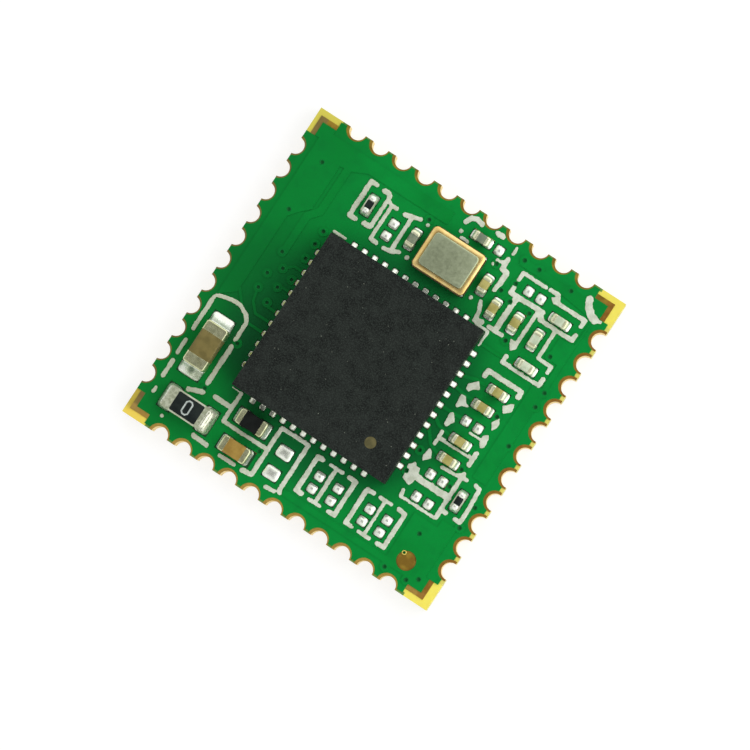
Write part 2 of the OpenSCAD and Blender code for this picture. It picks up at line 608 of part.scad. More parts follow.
module occupied_land_plan(grow = 0) {
    land_at(BULK_LANDS_AT) land_pair(bulk_l, bulk_w, large_land_l, large_land_out, land_side, grow);
    land_at(JUMPER_AT) land_pair(jumper_l, jumper_w, jumper_land_l, jumper_land_out, jumper_land_side, grow);
    for (place = [BYPASS_AT, FERRITE_AT]) land_at(place) medium_land_pair(grow);
    for (place = concat(CAPACITORS_AT, INDUCTORS_AT, RESISTORS_AT)) land_at(place) small_land_pair(grow);
    for (x = [-1, 1], y = [-1, 1])
        translate([XX + x * (crystal_l / 2 + crystal_land_out - crystal_land[0] / 2),
            XY + y * (crystal_w / 2 + crystal_land_out - crystal_land[1] / 2)])
            square([crystal_land[0] + 2 * grow, crystal_land[1] + 2 * grow], center = true);
}

module small_land(grow = 0) {
    square([small_land_l + 2 * grow, small_w + 2 * land_side + 2 * grow], center = true);
}

module empty_small_lands(grow = 0) {
    for (place = EMPTY_SMALL_AT) land_at(place) at_ends(empty_small_pitch) small_land(grow);
    translate(LONE_LAND_AT) small_land(grow);
}

module empty_medium_lands(grow = 0) {
    land_at(EMPTY_MEDIUM_AT)
        at_ends(empty_medium_pitch) square([medium_land_l + 2 * grow, medium_w + 2 * grow], center = true);
}

module passive_land_plan(grow = 0) {
    occupied_land_plan(grow);
    empty_small_lands(grow);
    empty_medium_lands(grow);
}

module lead_land_plan(grow = 0) {
    at_leads()
        translate([lead_land_out - lead_land_l / 2, 0])
            square([lead_land_l + 2 * grow, lead_w + 2 * grow], center = true);
}

module heat_pad_plan(grow = 0) {
    notch = 0.35;
    half = heat_pad_side / 2 + grow;
    translate([CX, CY])
        polygon([[-half, -half], [half - notch, -half], [half, notch - half], [half, half], [-half, half]]);
}

module target_plan(grow = 0) {
    translate(TARGET_AT) circle(target_r + grow);
}

// Everything that the mask leaves bare on the top, apart from the board's rim
module land_plan(grow = 0) {
    passive_land_plan(grow);
    lead_land_plan(grow);
    heat_pad_plan(grow);
    target_plan(grow);
}

module at_vias() {
    for (v = VIAS) translate(v) children();
}

// Copper pour out to the half-holes, with blocks that reach the corner lands
module pour_plan() {
    difference() {
        translate(print_shift) {
            square(2 * pour_half, center = true);
            for (x = [-1, 1], y = [-1, 1])
                translate([x * (angle_half - corner_block / 2), y * (angle_half - corner_block / 2)])
                    square(corner_block, center = true);
        }
        polygon(FIELD);
    }
}

module copper_plan() {
    difference() {
        union() {
            pour_plan();
            for (t = TRACKS) polyline(t[0], t[1]);
            at_vias() circle(via_pad_r);
        }
        land_plan();
        translate(print_shift) at_pins() circle(pin_land_r);
        corner_opening_plan();
        at_vias() circle(via_hole_r);
    }
}

module mask_plan() {
    difference() {
        intersection() {
            board_plan();
            translate(print_shift) square(mask_side, center = true);
        }
        translate(print_shift) at_pins() circle(pin_land_r);
        corner_opening_plan();
        land_plan(mask_gap);
        at_vias() circle(via_vent_r);
    }
}

// Footprints of the parts, which the ink keeps clear of
module footprint_plan(grow = 0) {
    translate([CX, CY]) square(chip_side + 2 * grow, center = true);
    translate([XX, XY]) square([crystal_l + 2 * grow, crystal_w + 2 * grow], center = true);
    land_at(BULK_AT) square([bulk_l + 2 * grow, bulk_w + 2 * grow], center = true);
    land_at(JUMPER_AT) square([jumper_l + 2 * grow, jumper_w + 2 * grow], center = true);
    for (place = [BYPASS_AT, FERRITE_AT])
        land_at(place) square([medium_l + 2 * grow, medium_w + 2 * grow], center = true);
    for (place = concat(CAPACITORS_AT, INDUCTORS_AT, RESISTORS_AT))
        land_at(place) square([small_l + 2 * grow, small_w + 2 * grow], center = true);
}

module ink_plan() {
    difference() {
        union() {
            for (s = STROKES) polyline(s[0], s[1]);
            for (p = PATCHES) polygon(p);
            for (d = DOTS) translate([d[0], d[1]]) circle(d[2]);
        }
        land_plan(mask_gap + ink_gap);
        footprint_plan(ink_gap);
        at_vias() circle(via_vent_r + ink_gap);
    }
}

// ---------- Board ----------

module board_core() {
    color([0.86, 0.79, 0.33])
        translate([0, 0, z_laminate])
            linear_extrude(laminate_t)
                difference() {
                    board_plan();
                    at_vias() circle(via_drill_r);
                }
}

module castellation_plating() {
    color([0.60, 0.47, 0.18]) {
        linear_extrude(z_copper)
            intersection() {
                open_board_plan();
                at_holes() circle(pin_drill_r);
            }
        translate([0, 0, z_top]) linear_extrude(copper_t) pin_land_plan();
        linear_extrude(mask_t)
            intersection() {
                open_board_plan();
                pin_pad_plan();
            }
    }
}

module top_copper() {
    color([0.72, 0.45, 0.20]) {
        translate([0, 0, z_top]) linear_extrude(copper_t) copper_plan();
        translate([0, 0, z_laminate])
            linear_extrude(laminate_t)
                difference() {
                    at_vias() circle(via_drill_r);
                    at_vias() circle(via_hole_r);
                }
    }
}

module solder_mask_top() {
    color([0.04, 0.47, 0.18]) {
        translate([0, 0, z_top])
            linear_extrude(copper_t)
                difference() {
                    mask_plan();
                    copper_plan();
                }
        translate([0, 0, z_copper]) linear_extrude(z_mask - z_copper) mask_plan();
        translate([0, 0, z_mask])
            linear_extrude(z_relief - z_mask)
                intersection() {
                    mask_plan();
                    copper_plan();
                }
    }
}

module solder_mask_bottom() {
    color([0.04, 0.40, 0.16])
        linear_extrude(mask_t)
            difference() {
                square(mask_side, center = true);
                at_holes() circle(pin_drill_r);
                pin_pad_plan(mask_gap);
            }
}

module silkscreen_top() {
    color([0.82, 0.82, 0.79]) {
        translate([0, 0, z_mask])
            linear_extrude(z_relief - z_mask)
                difference() {
                    ink_plan();
                    copper_plan();
                }
        translate([0, 0, z_relief]) linear_extrude(ink_t) ink_plan();
    }
}

module corner_lands() {
    color([0.60, 0.47, 0.18]) translate([0, 0, z_top]) linear_extrude(copper_t) corner_land_plan();
}

module placing_target() {
    color([0.60, 0.47, 0.18]) translate([0, 0, z_top]) linear_extrude(copper_t) target_plan();
}

module chip_lands() {
    color([0.80, 0.66, 0.30])
        translate([0, 0, z_top])
            linear_extrude(copper_t) {
                lead_land_plan();
                heat_pad_plan();
            }
}

module passive_lands() {
    color([0.80, 0.66, 0.30]) translate([0, 0, z_top]) linear_extrude(copper_t) passive_land_plan();
}

// ---------- Chip ----------

// One lead, with its end face on the side of the package and its inner end round
module lead() {
    translate([-lead_l / 2, 0, 0])
        linear_extrude(lead_t) {
            translate([lead_w / 4, 0]) square([lead_l - lead_w / 2, lead_w], center = true);
            translate([(lead_w - lead_l) / 2, 0]) circle(lead_w / 2);
        }
}

module chip_leads() {
    color([0.80, 0.80, 0.78]) translate([0, 0, z_part]) at_leads() lead();
}

module chip_heat_pad() {
    color([0.80, 0.80, 0.78]) translate([0, 0, z_part]) linear_extrude(lead_t) heat_pad_plan();
}

// Place of the mark beside the first lead
module at_dot() {
    translate([CX + chip_side / 2 - dot_inset_x, CY - chip_side / 2 + dot_inset_y]) children();
}

module chip_body() {
    color([0.14, 0.15, 0.145])
        difference() {
            translate([CX, CY, z_part + chip_h / 2]) cube([chip_side, chip_side, chip_h], center = true);
            translate([0, 0, z_part]) at_leads() lead();
            translate([0, 0, z_part]) linear_extrude(lead_t) heat_pad_plan();
            translate([0, 0, z_part + chip_h - dot_depth]) at_dot() cylinder(h = dot_depth + eps, r = dot_r);
        }
}

module chip_pin_one_dot() {
    color([0.55, 0.50, 0.42])
        translate([0, 0, z_part + chip_h - dot_depth]) at_dot() cylinder(h = dot_depth / 2, r = dot_r);
}

// Concave wedge of solder: run along +X, rise along +Z, w wide. Its face is an arc that is level at the toe.
module fillet(run, rise, w) {
    flatness = 1.05 * max(run, rise) / min(run, rise);
    chord = norm([run, rise]);
    middle = [run, rise] / 2;
    out = [rise, run] / chord;
    arc_r = chord / 2 * norm([1, flatness]);
    rotate([90, 0, 0])
        linear_extrude(w, center = true)
            difference() {
                square([run, rise]);
                translate(middle + out * chord / 2 * flatness) circle(arc_r, $fn = 96);
            }
}

module chip_solder() {
    lead_run = lead_land_out - 0.02;
    lead_rise = lead_t * 0.8;
    color([0.86, 0.86, 0.84]) {
        translate([0, 0, z_copper]) linear_extrude(solder_t) heat_pad_plan(-0.1);
        translate([0, 0, z_copper])
            at_leads() {
                translate([lead_run - (lead_run + lead_l) / 2, 0, solder_t / 2])
                    cube([lead_run + lead_l, lead_w, solder_t], center = true);
                translate([0, 0, solder_t]) fillet(lead_run, lead_rise, lead_w);
            }
    }
}

// ---------- Crystal ----------

module crystal_base() {
    notch_r = 0.12;
    color([0.30, 0.27, 0.20])
        translate([XX, XY, z_part])
            linear_extrude(crystal_base_h)
                difference() {
                    square([crystal_l, crystal_w], center = true);
                    for (x = [-1, 1], y = [-1, 1])
                        translate([x * crystal_l / 2, y * crystal_w / 2]) circle(notch_r);
                }
}

module crystal_seal_ring() {
    side_gap = 0.02;
    corner_r = 0.18;
    ring_w = 0.26;
    color([0.85, 0.68, 0.32])
        translate([XX, XY, z_part + crystal_base_h])
            linear_extrude(crystal_ring_h)
                difference() {
                    round_rect(crystal_l - 2 * side_gap, crystal_w - 2 * side_gap, corner_r);
                    round_rect(crystal_l - 2 * ring_w, crystal_w - 2 * ring_w, corner_r / 2);
                }
}

module crystal_lid() {
    corner_r = 0.16;
    step_w = 0.04;
    lid_l = crystal_l - 2 * crystal_rim;
    lid_w = crystal_w - 2 * crystal_rim;
    color([0.56, 0.58, 0.50])
        translate([XX, XY, z_part + crystal_base_h + crystal_ring_h]) {
            linear_extrude(crystal_lid_t / 2) round_rect(lid_l, lid_w, corner_r);
            translate([0, 0, crystal_lid_t / 2])
                linear_extrude(crystal_lid_t / 2)
                    round_rect(lid_l - 2 * step_w, lid_w - 2 * step_w, corner_r - step_w);
        }
}

// ---------- Chip parts ----------

// Ceramic block of a capacitor or inductor, inside its metal ends
module ceramic_block(l, w, h) {
    translate([0, 0, end_t]) tumbled_block(l - 2 * end_t, w - 2 * end_t, h - 2 * end_t, tumble_r);
}

// The two metal ends, wrapped round the block on five sides
module wrapped_ends(l, w, h, band) {
    difference() {
        intersection() {
            tumbled_block(l, w, h, tumble_r + end_t);
            at_ends(l) translate([-band / 2, 0, h / 2]) cube([band + eps, w + eps, h + eps], center = true);
        }
        ceramic_block(l, w, h);
    }
}

// White ceramic plate of a resistor
module resistor_plate(l, w, h) {
    translate([0, 0, h / 2]) cube([l - 2 * end_t, w, h - 2 * end_t], center = true);
}

// Coat over the resistor's film, between its ends
module resistor_coat(l, w, h, band) {
    side_gap = 0.01;
    translate([0, 0, h - end_t])
        linear_extrude(coat_t) round_rect(l - 2 * band - eps, w - 2 * side_gap, tumble_r);
}

// The two metal ends of a resistor, under, behind and over the plate
module clasped_ends(l, w, h, band) {
    difference() {
        at_ends(l) translate([-band / 2, 0, h / 2]) cube([band, w, h], center = true);
        resistor_plate(l, w, h);
    }
}

module bulk_capacitor_body() {
    color([0.48, 0.41, 0.24]) at_part(BULK_AT) ceramic_block(bulk_l, bulk_w, bulk_h);
}

module bulk_capacitor_ends() {
    color([0.70, 0.68, 0.58]) at_part(BULK_AT) wrapped_ends(bulk_l, bulk_w, bulk_h, bulk_band);
}

module jumper_substrate() {
    color([0.90, 0.89, 0.85]) at_part(JUMPER_AT) resistor_plate(jumper_l, jumper_w, jumper_h);
}

module jumper_coat() {
    color([0.10, 0.10, 0.11]) at_part(JUMPER_AT) resistor_coat(jumper_l, jumper_w, jumper_h, jumper_band);
}

module jumper_ends() {
    color([0.80, 0.80, 0.78]) at_part(JUMPER_AT) clasped_ends(jumper_l, jumper_w, jumper_h, jumper_band);
}

module jumper_figure() {
    color([0.90, 0.90, 0.88])
        at_part(JUMPER_AT)
            translate([0, 0, jumper_h - end_t + coat_t])
                linear_extrude(ink_t)
                    difference() {
                        round_rect(figure_w, figure_h, figure_w * 0.4);
                        round_rect(figure_w - 2 * figure_stroke, figure_h - 2 * figure_stroke,
                            figure_w * 0.4 - figure_stroke);
                    }
}

module bypass_capacitor_body() {
    color([0.66, 0.52, 0.27]) at_part(BYPASS_AT) ceramic_block(medium_l, medium_w, medium_h);
}

module bypass_capacitor_ends() {
    color([0.84, 0.82, 0.74]) at_part(BYPASS_AT) wrapped_ends(medium_l, medium_w, medium_h, medium_band);
}

module ferrite_inductor_body() {
    color([0.10, 0.10, 0.10]) at_part(FERRITE_AT) ceramic_block(medium_l, medium_w, medium_h);
}

module ferrite_inductor_ends() {
    color([0.80, 0.79, 0.76]) at_part(FERRITE_AT) wrapped_ends(medium_l, medium_w, medium_h, medium_band);
}

module small_capacitor_body(i) {
    color([0.68, 0.63, 0.34]) at_part(CAPACITORS_AT[i]) ceramic_block(small_l, small_w, small_h);
}

module small_capacitor_ends(i) {
    color([0.86, 0.84, 0.74]) at_part(CAPACITORS_AT[i]) wrapped_ends(small_l, small_w, small_h, small_band);
}

module small_inductor_body(i) {
    color([0.80, 0.80, 0.74]) at_part(INDUCTORS_AT[i]) ceramic_block(small_l, small_w, small_h);
}

module small_inductor_ends(i) {
    color([0.86, 0.84, 0.78]) at_part(INDUCTORS_AT[i]) wrapped_ends(small_l, small_w, small_h, small_band);
}

module small_resistor_body(i) {
    color([0.90, 0.89, 0.85]) at_part(RESISTORS_AT[i]) resistor_plate(small_l, small_w, small_resistor_h);
}

module small_resistor_ends(i) {
    color([0.86, 0.84, 0.78])
        at_part(RESISTORS_AT[i]) clasped_ends(small_l, small_w, small_resistor_h, small_band);
}

module small_resistor_coats() {
    color([0.12, 0.12, 0.12])
        for (place = RESISTORS_AT)
            at_part(place) resistor_coat(small_l, small_w, small_resistor_h, small_band);
}

// ---------- Solder of the chip parts ----------

// Solder at both ends of a part: a film under it and a fillet up its end face
module end_solder(l, w, h, out) {
    at_ends(l) fillet(out - mask_gap, h * fillet_share, w);
}

module passive_solder() {
    color([0.88, 0.88, 0.85]) {
        translate([0, 0, z_copper]) linear_extrude(solder_t) occupied_land_plan(-0.015);
        at_part(BULK_LANDS_AT) end_solder(bulk_l, bulk_w, bulk_h, large_land_out);
        at_part(JUMPER_AT) end_solder(jumper_l, jumper_w, jumper_h, jumper_land_out);
        for (place = [BYPASS_AT, FERRITE_AT])
            at_part(place) end_solder(medium_l, medium_w, medium_h, medium_land_out);
        for (place = concat(CAPACITORS_AT, INDUCTORS_AT))
            at_part(place) end_solder(small_l, small_w, small_h, small_land_out);
        for (place = RESISTORS_AT)
            at_part(place) end_solder(small_l, small_w, small_resistor_h, small_land_out);
    }
}

// Drop of solder with an arched top, l by w by h
module solder_drop(l, w, h) {
    along_r = (l * l / 4 + h * h) / (2 * h);
    across_r = (w * w / 4 + h * h) / (2 * h);
    intersection() {
        linear_extrude(h) round_rect(l, w, min(l, w) * 0.35);
        translate([0, 0, h - along_r])
            rotate([90, 0, 0]) cylinder(h = w, r = along_r, center = true, $fn = 96);
        translate([0, 0, h - across_r])
            rotate([0, 90, 0]) cylinder(h = l, r = across_r, center = true, $fn = 96);
    }
}

module bare_land_solder() {
    land_w = small_w + 2 * land_side;
    color([0.90, 0.90, 0.88])
        translate([0, 0, z_copper]) {
            for (place = EMPTY_SMALL_AT)
                land_at(place) at_ends(empty_small_pitch) solder_drop(small_land_l, land_w, bare_solder_h);
            translate(LONE_LAND_AT) solder_drop(small_land_l, land_w, bare_solder_h);
            land_at(EMPTY_MEDIUM_AT)
                at_ends(empty_medium_pitch) solder_drop(medium_land_l, medium_w, bare_solder_h);
        }
}

// ---------- The module ----------

board_core();
castellation_plating();
top_copper();
solder_mask_top();
solder_mask_bottom();
silkscreen_top();
corner_lands();
placing_target();
chip_lands();
passive_lands();
chip_body();
chip_leads();
chip_heat_pad();
chip_pin_one_dot();
chip_solder();
crystal_base();
crystal_seal_ring();
crystal_lid();
bulk_capacitor_body();
bulk_capacitor_ends();
jumper_substrate();
jumper_coat();
jumper_ends();
jumper_figure();
bypass_capacitor_body();
bypass_capacitor_ends();
ferrite_inductor_body();
ferrite_inductor_ends();
small_resistor_coats();
passive_solder();
bare_land_solder();
for (i = [0:len(CAPACITORS_AT) - 1]) {
    small_capacitor_body(i);
    small_capacitor_ends(i);
}
for (i = [0:len(INDUCTORS_AT) - 1]) {
    small_inductor_body(i);
    small_inductor_ends(i);
}
for (i = [0:len(RESISTORS_AT) - 1]) {
    small_resistor_body(i);
    small_resistor_ends(i);
}
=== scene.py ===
"""Looks of the castellated wireless module: materials, solder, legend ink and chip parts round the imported
frame. Lengths on the part are in millimetres, and piece() turns them into metres."""
import math

import bmesh
import bpy
import numpy as np
from mathutils import Matrix, Vector


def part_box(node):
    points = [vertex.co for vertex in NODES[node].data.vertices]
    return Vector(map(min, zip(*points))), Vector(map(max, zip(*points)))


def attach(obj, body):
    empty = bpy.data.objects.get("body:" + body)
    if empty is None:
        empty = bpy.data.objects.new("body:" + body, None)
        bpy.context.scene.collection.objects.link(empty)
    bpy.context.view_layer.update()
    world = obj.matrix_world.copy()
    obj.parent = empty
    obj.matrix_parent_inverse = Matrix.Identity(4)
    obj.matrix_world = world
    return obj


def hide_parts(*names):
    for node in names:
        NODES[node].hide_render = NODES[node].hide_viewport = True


MM = 0.001
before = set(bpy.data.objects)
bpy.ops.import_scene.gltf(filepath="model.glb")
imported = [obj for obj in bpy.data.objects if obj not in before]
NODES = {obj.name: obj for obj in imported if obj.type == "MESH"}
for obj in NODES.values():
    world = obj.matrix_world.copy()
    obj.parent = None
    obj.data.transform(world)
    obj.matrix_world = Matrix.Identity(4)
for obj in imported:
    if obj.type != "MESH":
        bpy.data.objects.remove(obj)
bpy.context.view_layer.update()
# Largest difference between two heights that count as the same
SAME_HEIGHT = 1e-3


# ---------- Reading the frame ----------

def box_mm(node):
    """Lowest and highest corners of a CAD node, in millimetres."""
    low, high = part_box(node)
    return np.array(low) / MM, np.array(high) / MM


def corners_mm(node):
    """Vertices and triangles of a CAD node, in millimetres."""
    mesh = NODES[node].data
    co = np.empty(len(mesh.vertices) * 3)
    mesh.vertices.foreach_get("co", co)
    mesh.calc_loop_triangles()
    tri = np.empty(len(mesh.loop_triangles) * 3, int)
    mesh.loop_triangles.foreach_get("vertices", tri)
    return co.reshape(-1, 3) / MM, tri.reshape(-1, 3)


def islands(node, level=None):
    """Boxes of the separate solids of a CAD node, as (low, high) in millimetres, in a fixed order. With a
    level, only of its faces at that height."""
    co, tri = corners_mm(node)
    if level is not None:
        tri = tri[(np.abs(co[tri][:, :, 2] - level) < SAME_HEIGHT).all(axis=1)]
    _, same = np.unique(np.round(co, 5), axis=0, return_inverse=True)
    same = same.ravel()
    label = np.arange(same.max() + 1)
    ends = same[tri]
    while True:
        low = label[ends].min(axis=1)
        new = label.copy()
        for k in range(3):
            np.minimum.at(new, ends[:, k], low)
        new = new[new]
        if (new == label).all():
            break
        label = new
    found = []
    for root in np.unique(label[same[tri]]):
        pts = co[label[same] == root]
        found.append((pts.min(0), pts.max(0)))
    return sorted(found, key=lambda b: (round(b[0][0], 3), round(b[0][1], 3)))


# ---------- Making pieces ----------

def piece(name, verts, faces, material, replaces=(), smooth=True):
    """A mesh piece from millimetre coordinates, riding on the module."""
    mesh = bpy.data.meshes.new(name)
    mesh.from_pydata([tuple(v) for v in np.asarray(verts, float) * MM], [], [tuple(f) for f in faces])
    mesh.validate()
    bm = bmesh.new()
    bm.from_mesh(mesh)
    bmesh.ops.recalc_face_normals(bm, faces=bm.faces)
    bm.to_mesh(mesh)
    bm.free()
    mesh.polygons.foreach_set("use_smooth", [smooth] * len(mesh.polygons))
    made = bpy.data.objects.new(name, mesh)
    bpy.context.scene.collection.objects.link(made)
    mesh.materials.append(material)
    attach(made, "root")
    if replaces:
        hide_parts(*replaces)


class Shape:
    """Vertices and faces gathered from several closed surfaces."""

    def __init__(self):
        self.verts = []
        self.faces = []

    def add(self, verts, faces):
        start = len(self.verts)
        self.verts.extend([tuple(v) for v in verts])
        self.faces.extend([tuple(i + start for i in f) for f in faces])

    def loft(self, rings, closed=False):
        """Closed surface through rings of equally many points, with a flat cap at each end or, when closed,
        with the last ring joined to the first."""
        n, m = len(rings[0]), len(rings)
        faces = []
        for k in range(m if closed else m - 1):
            for i in range(n):
                j, after = (i + 1) % n, (k + 1) % m
                faces.append((k * n + i, k * n + j, after * n + j, after * n + i))
        if not closed:
            faces += [tuple(range(n))[::-1], tuple(range((m - 1) * n, m * n))]
        self.add([p for ring in rings for p in ring], faces)

    def made(self, name, slot, replaces=(), material=None, smooth=True):
        """The gathered surfaces as a piece, with the paint of its slot or another one."""
        piece(name, self.verts, self.faces, material or PAINTS[slot], replaces, smooth)


def round_ring(half_l, half_w, r, per_corner=5):
    """Points of a rectangle with round corners, anticlockwise, centred on the origin."""
    r = max(1e-4, min(r, half_l - 1e-4, half_w - 1e-4))
    ring = []
    for k, (sx, sy) in enumerate([(1, 1), (-1, 1), (-1, -1), (1, -1)]):
        for a in np.linspace(0, math.pi / 2, per_corner):
            t = a + k * math.pi / 2
            ring.append((sx * (half_l - r) + r * math.cos(t), sy * (half_w - r) + r * math.sin(t)))
    return ring


def ring_at(centre, half, inset, r, z, per_corner=5):
    """A rectangle with round corners at one height, set in from the sides of a box."""
    plan = round_ring(half[0] - inset, half[1] - inset, r, per_corner)
    return [(centre[0] + x, centre[1] + y, z) for x, y in plan]


def circles(x, y, profile, count):
    """Rings round one axis: profile gives the radius and height of each."""
    around = np.linspace(0, 2 * math.pi, count, endpoint=False)
    return [[(x + r * math.cos(t), y + r * math.sin(t), z) for t in around] for r, z in profile]


# ---------- Materials ----------

def srgb(r, g, b):
    """Linear colour of an 8-bit screen colour."""
    def one(v):
        v /= 255
        return v / 12.92 if v <= 0.04045 else ((v + 0.055) / 1.055) ** 2.4
    return one(r), one(g), one(b)


def add_node(tree, kind, feeds=(), **settings):
    """A shader node with its settings, and with each socket set to a value or linked to an output."""
    node = tree.nodes.new("ShaderNode" + kind)
    for key, v in settings.items():
        setattr(node, key, v)
    for key, v in dict(feeds).items():
        if isinstance(v, bpy.types.NodeSocket):
            tree.links.new(v, node.inputs[key])
        else:
            node.inputs[key].default_value = v
    return node


def math_node(tree, operation, *values):
    return add_node(tree, "Math", dict(enumerate(values)), operation=operation).outputs[0]


class Paint:
    """A node material in which coordinates are millimetres on the part."""

    def __init__(self, name, color, roughness, metallic=0.0, specular=0.5):
        self.mat = bpy.data.materials.new(name)
        self.mat.use_nodes = True
        self.tree = self.mat.node_tree
        self.bsdf = self.tree.nodes["Principled BSDF"]
        self.set("Base Color", (*srgb(*color), 1))
        self.set("Roughness", roughness)
        self.set("Metallic", metallic)
        self.set("Specular IOR Level", specular)
        place = self.node("TexCoord").outputs["Object"]
        self.mm = self.node("VectorMath", {0: place, "Scale": 1 / MM}, operation="SCALE").outputs[0]

    def node(self, kind, feeds=(), **settings):
        return add_node(self.tree, kind, feeds, **settings)

    def set(self, socket, value):
        self.bsdf.inputs[socket].default_value = value

    def link(self, out, socket):
        self.tree.links.new(out, self.bsdf.inputs[socket])

    def noise(self, size, detail=2.0, stretch=None, offset=0.0):
        """Noise whose blobs are about size millimetres across, from 0 to 1."""
        source = self.mm
        if stretch or offset:
            feeds = {"Vector": source, "Scale": stretch or (1, 1, 1), "Location": (offset, offset, offset)}
            source = self.node("Mapping", feeds).outputs[0]
        return self.node("TexNoise", {"Vector": source, "Scale": 1 / size, "Detail": detail}).outputs["Fac"]

    def cells(self, size):
        """Distance to the nearest of scattered points that are about size millimetres apart."""
        cells = self.node("TexVoronoi", {"Vector": self.mm, "Scale": 1 / size}, feature="F1")
        return cells.outputs["Distance"]

    def axis(self, which):
        return self.node("SeparateXYZ", {0: self.mm}).outputs[which]

    def math(self, operation, a, b=0.0, *more):
        return math_node(self.tree, operation, a, b, *more)

    def span(self, value, low, high, to_low=0.0, to_high=1.0):
        """Maps low..high to to_low..to_high, clamped and smooth."""
        feeds = {"Value": value, "From Min": low, "From Max": high, "To Min": to_low, "To Max": to_high}
        return self.node("MapRange", feeds, interpolation_type="SMOOTHSTEP").outputs[0]

    def mix(self, share, a, b):
        """From a to b. A tuple is an 8-bit colour, a list a linear one, and anything else an output."""
        a, b = ((*srgb(*v), 1) if isinstance(v, tuple) else (*v, 1) if isinstance(v, list) else v
                for v in (a, b))
        return self.node("Mix", {0: share, 6: a, 7: b}, data_type="RGBA").outputs[2]

    def tint(self, tone, where, share, color):
        """The tone, mixed by a share towards a colour where a field is 1."""
        return self.mix(self.math("MULTIPLY", where, share), tone, color)

    def bump(self, height, depth_mm, strength=1.0):
        feeds = {"Strength": strength, "Distance": depth_mm * MM, "Height": height}
        self.link(self.node("Bump", feeds).outputs[0], "Normal")

    def inside(self, half):
        """1 inside a square on the middle of the board, 0 outside it."""
        ax = self.math("LESS_THAN", self.math("ABSOLUTE", self.axis("X")), half)
        ay = self.math("LESS_THAN", self.math("ABSOLUTE", self.axis("Y")), half)
        return self.math("MULTIPLY", ax, ay)

    def band(self, which, low, high, soft):
        """1 between two places along one axis, falling to 0 outside them."""
        at = self.axis(which)
        below, above = self.span(at, low - soft, low), self.span(at, high, high + soft, 1.0, 0.0)
        return self.math("MULTIPLY", below, above)

    def spot(self, x, y, radius, soft):
        """1 inside a round spot on the board, falling to 0 outside it."""
        dx = self.math("SUBTRACT", self.axis("X"), x)
        dy = self.math("SUBTRACT", self.axis("Y"), y)
        d = self.math("SQRT", self.math("ADD", self.math("MULTIPLY", dx, dx), self.math("MULTIPLY", dy, dy)))
        return self.span(d, radius, radius + soft, 1.0, 0.0)


# Pitch of the glass weave along the board, and of its plies through the board
WEAVE_PITCH, PLY_PITCH = 0.42, 0.12
# From and to of x - y, over which the laminate goes from dull to bright
LAMINATE_SHADE = (-12.0, 4.0)
# A warm and a dull place at the (-X, -Y) corner: x, y, radius and soft edge
WARM_CORNER, DULL_CORNER = (-5.6, -5.9, 0.25, 0.3), (-6.0, -5.35, 0.25, 0.35)
# Duller tips of the teeth on the +X side: low, high and soft edge along X and along Y
TIPS_X, TIPS_Y = (5.8, 6.1, 0.02), (-5.0, 5.0, 0.05)
# Green upper edge of the sides that face +Y and -Y: from and to along |y|, along |x| and in height
GREEN_EDGE_Y, GREEN_EDGE_X, GREEN_EDGE_Z = (5.88, 5.9), (5.1, 5.12), (0.70, 0.748)
# Half side of the square within which the laminate's top lies under mask, and from and to in height
UNDER_MASK, UNDER_MASK_Z = 5.4, (0.742, 0.748)


def laminate_paint():
    p = Paint("laminate_glass", (236, 212, 84), 0.45, specular=0.3)
    warp = p.math("SINE", p.math("MULTIPLY", p.axis("X"), 2 * math.pi / WEAVE_PITCH))
    weft = p.math("SINE", p.math("MULTIPLY", p.axis("Y"), 2 * math.pi / WEAVE_PITCH))
    weave = p.math("MULTIPLY_ADD", p.math("MULTIPLY", warp, weft), 0.5, 0.5)
    fibre = p.noise(0.05, 3, (1, 1, 7))
    plies = p.math("SINE", p.math("MULTIPLY", p.axis("Z"), 2 * math.pi / PLY_PITCH))
    tone = p.mix(p.noise(1.6, 1), (250, 230, 84), (255, 246, 100))
    tone = p.tint(tone, weave, 0.12, (206, 178, 66))
    tone = p.mix(p.span(fibre, 0.35, 0.7, 0.0, 0.3), tone, (236, 228, 130))
    tone = p.mix(p.span(plies, 0.2, 1.0, 0.0, 0.06), tone, (196, 176, 90))
    across = p.math("SUBTRACT", p.axis("X"), p.axis("Y"))
    tone = p.mix(p.span(across, *LAMINATE_SHADE, 0.85, 0.0), tone, (204, 194, 78))
    tone = p.tint(tone, p.spot(*WARM_CORNER), 0.6, (240, 200, 84))
    tone = p.tint(tone, p.spot(*DULL_CORNER), 0.8, (172, 150, 52))
    tips = p.math("MULTIPLY", p.band("X", *TIPS_X), p.band("Y", *TIPS_Y))
    tone = p.tint(tone, tips, 0.55, (204, 198, 110))
    rim = p.math("MULTIPLY", p.span(p.math("ABSOLUTE", p.axis("Y")), *GREEN_EDGE_Y),
                 p.span(p.math("ABSOLUTE", p.axis("X")), *GREEN_EDGE_X, 1.0, 0.0))
    rim = p.math("MULTIPLY", rim, p.span(p.axis("Z"), *GREEN_EDGE_Z))
    tone = p.tint(tone, rim, 0.85, (40, 122, 56))
    covered = p.math("MULTIPLY", p.inside(UNDER_MASK), p.span(p.axis("Z"), *UNDER_MASK_Z))
    tone = p.mix(covered, tone, (20, 74, 38))
    p.link(tone, "Base Color")
    p.bump(fibre, 0.004, 0.5)
    return p.mat


# Bands of the plated edges that have another tone: axis, low, high, share and colour
PLATING_BANDS = (("X", -6.0, -5.6, 0.6, (122, 112, 74)), ("Y", -6.0, -5.6, 0.55, (206, 166, 84)),
                ("X", 5.5, 6.0, 0.5, (158, 96, 32)))
# From and to in height, over which the wall of a half-hole goes over into its top ring
WALL_TO_RING = (0.66, 0.762)


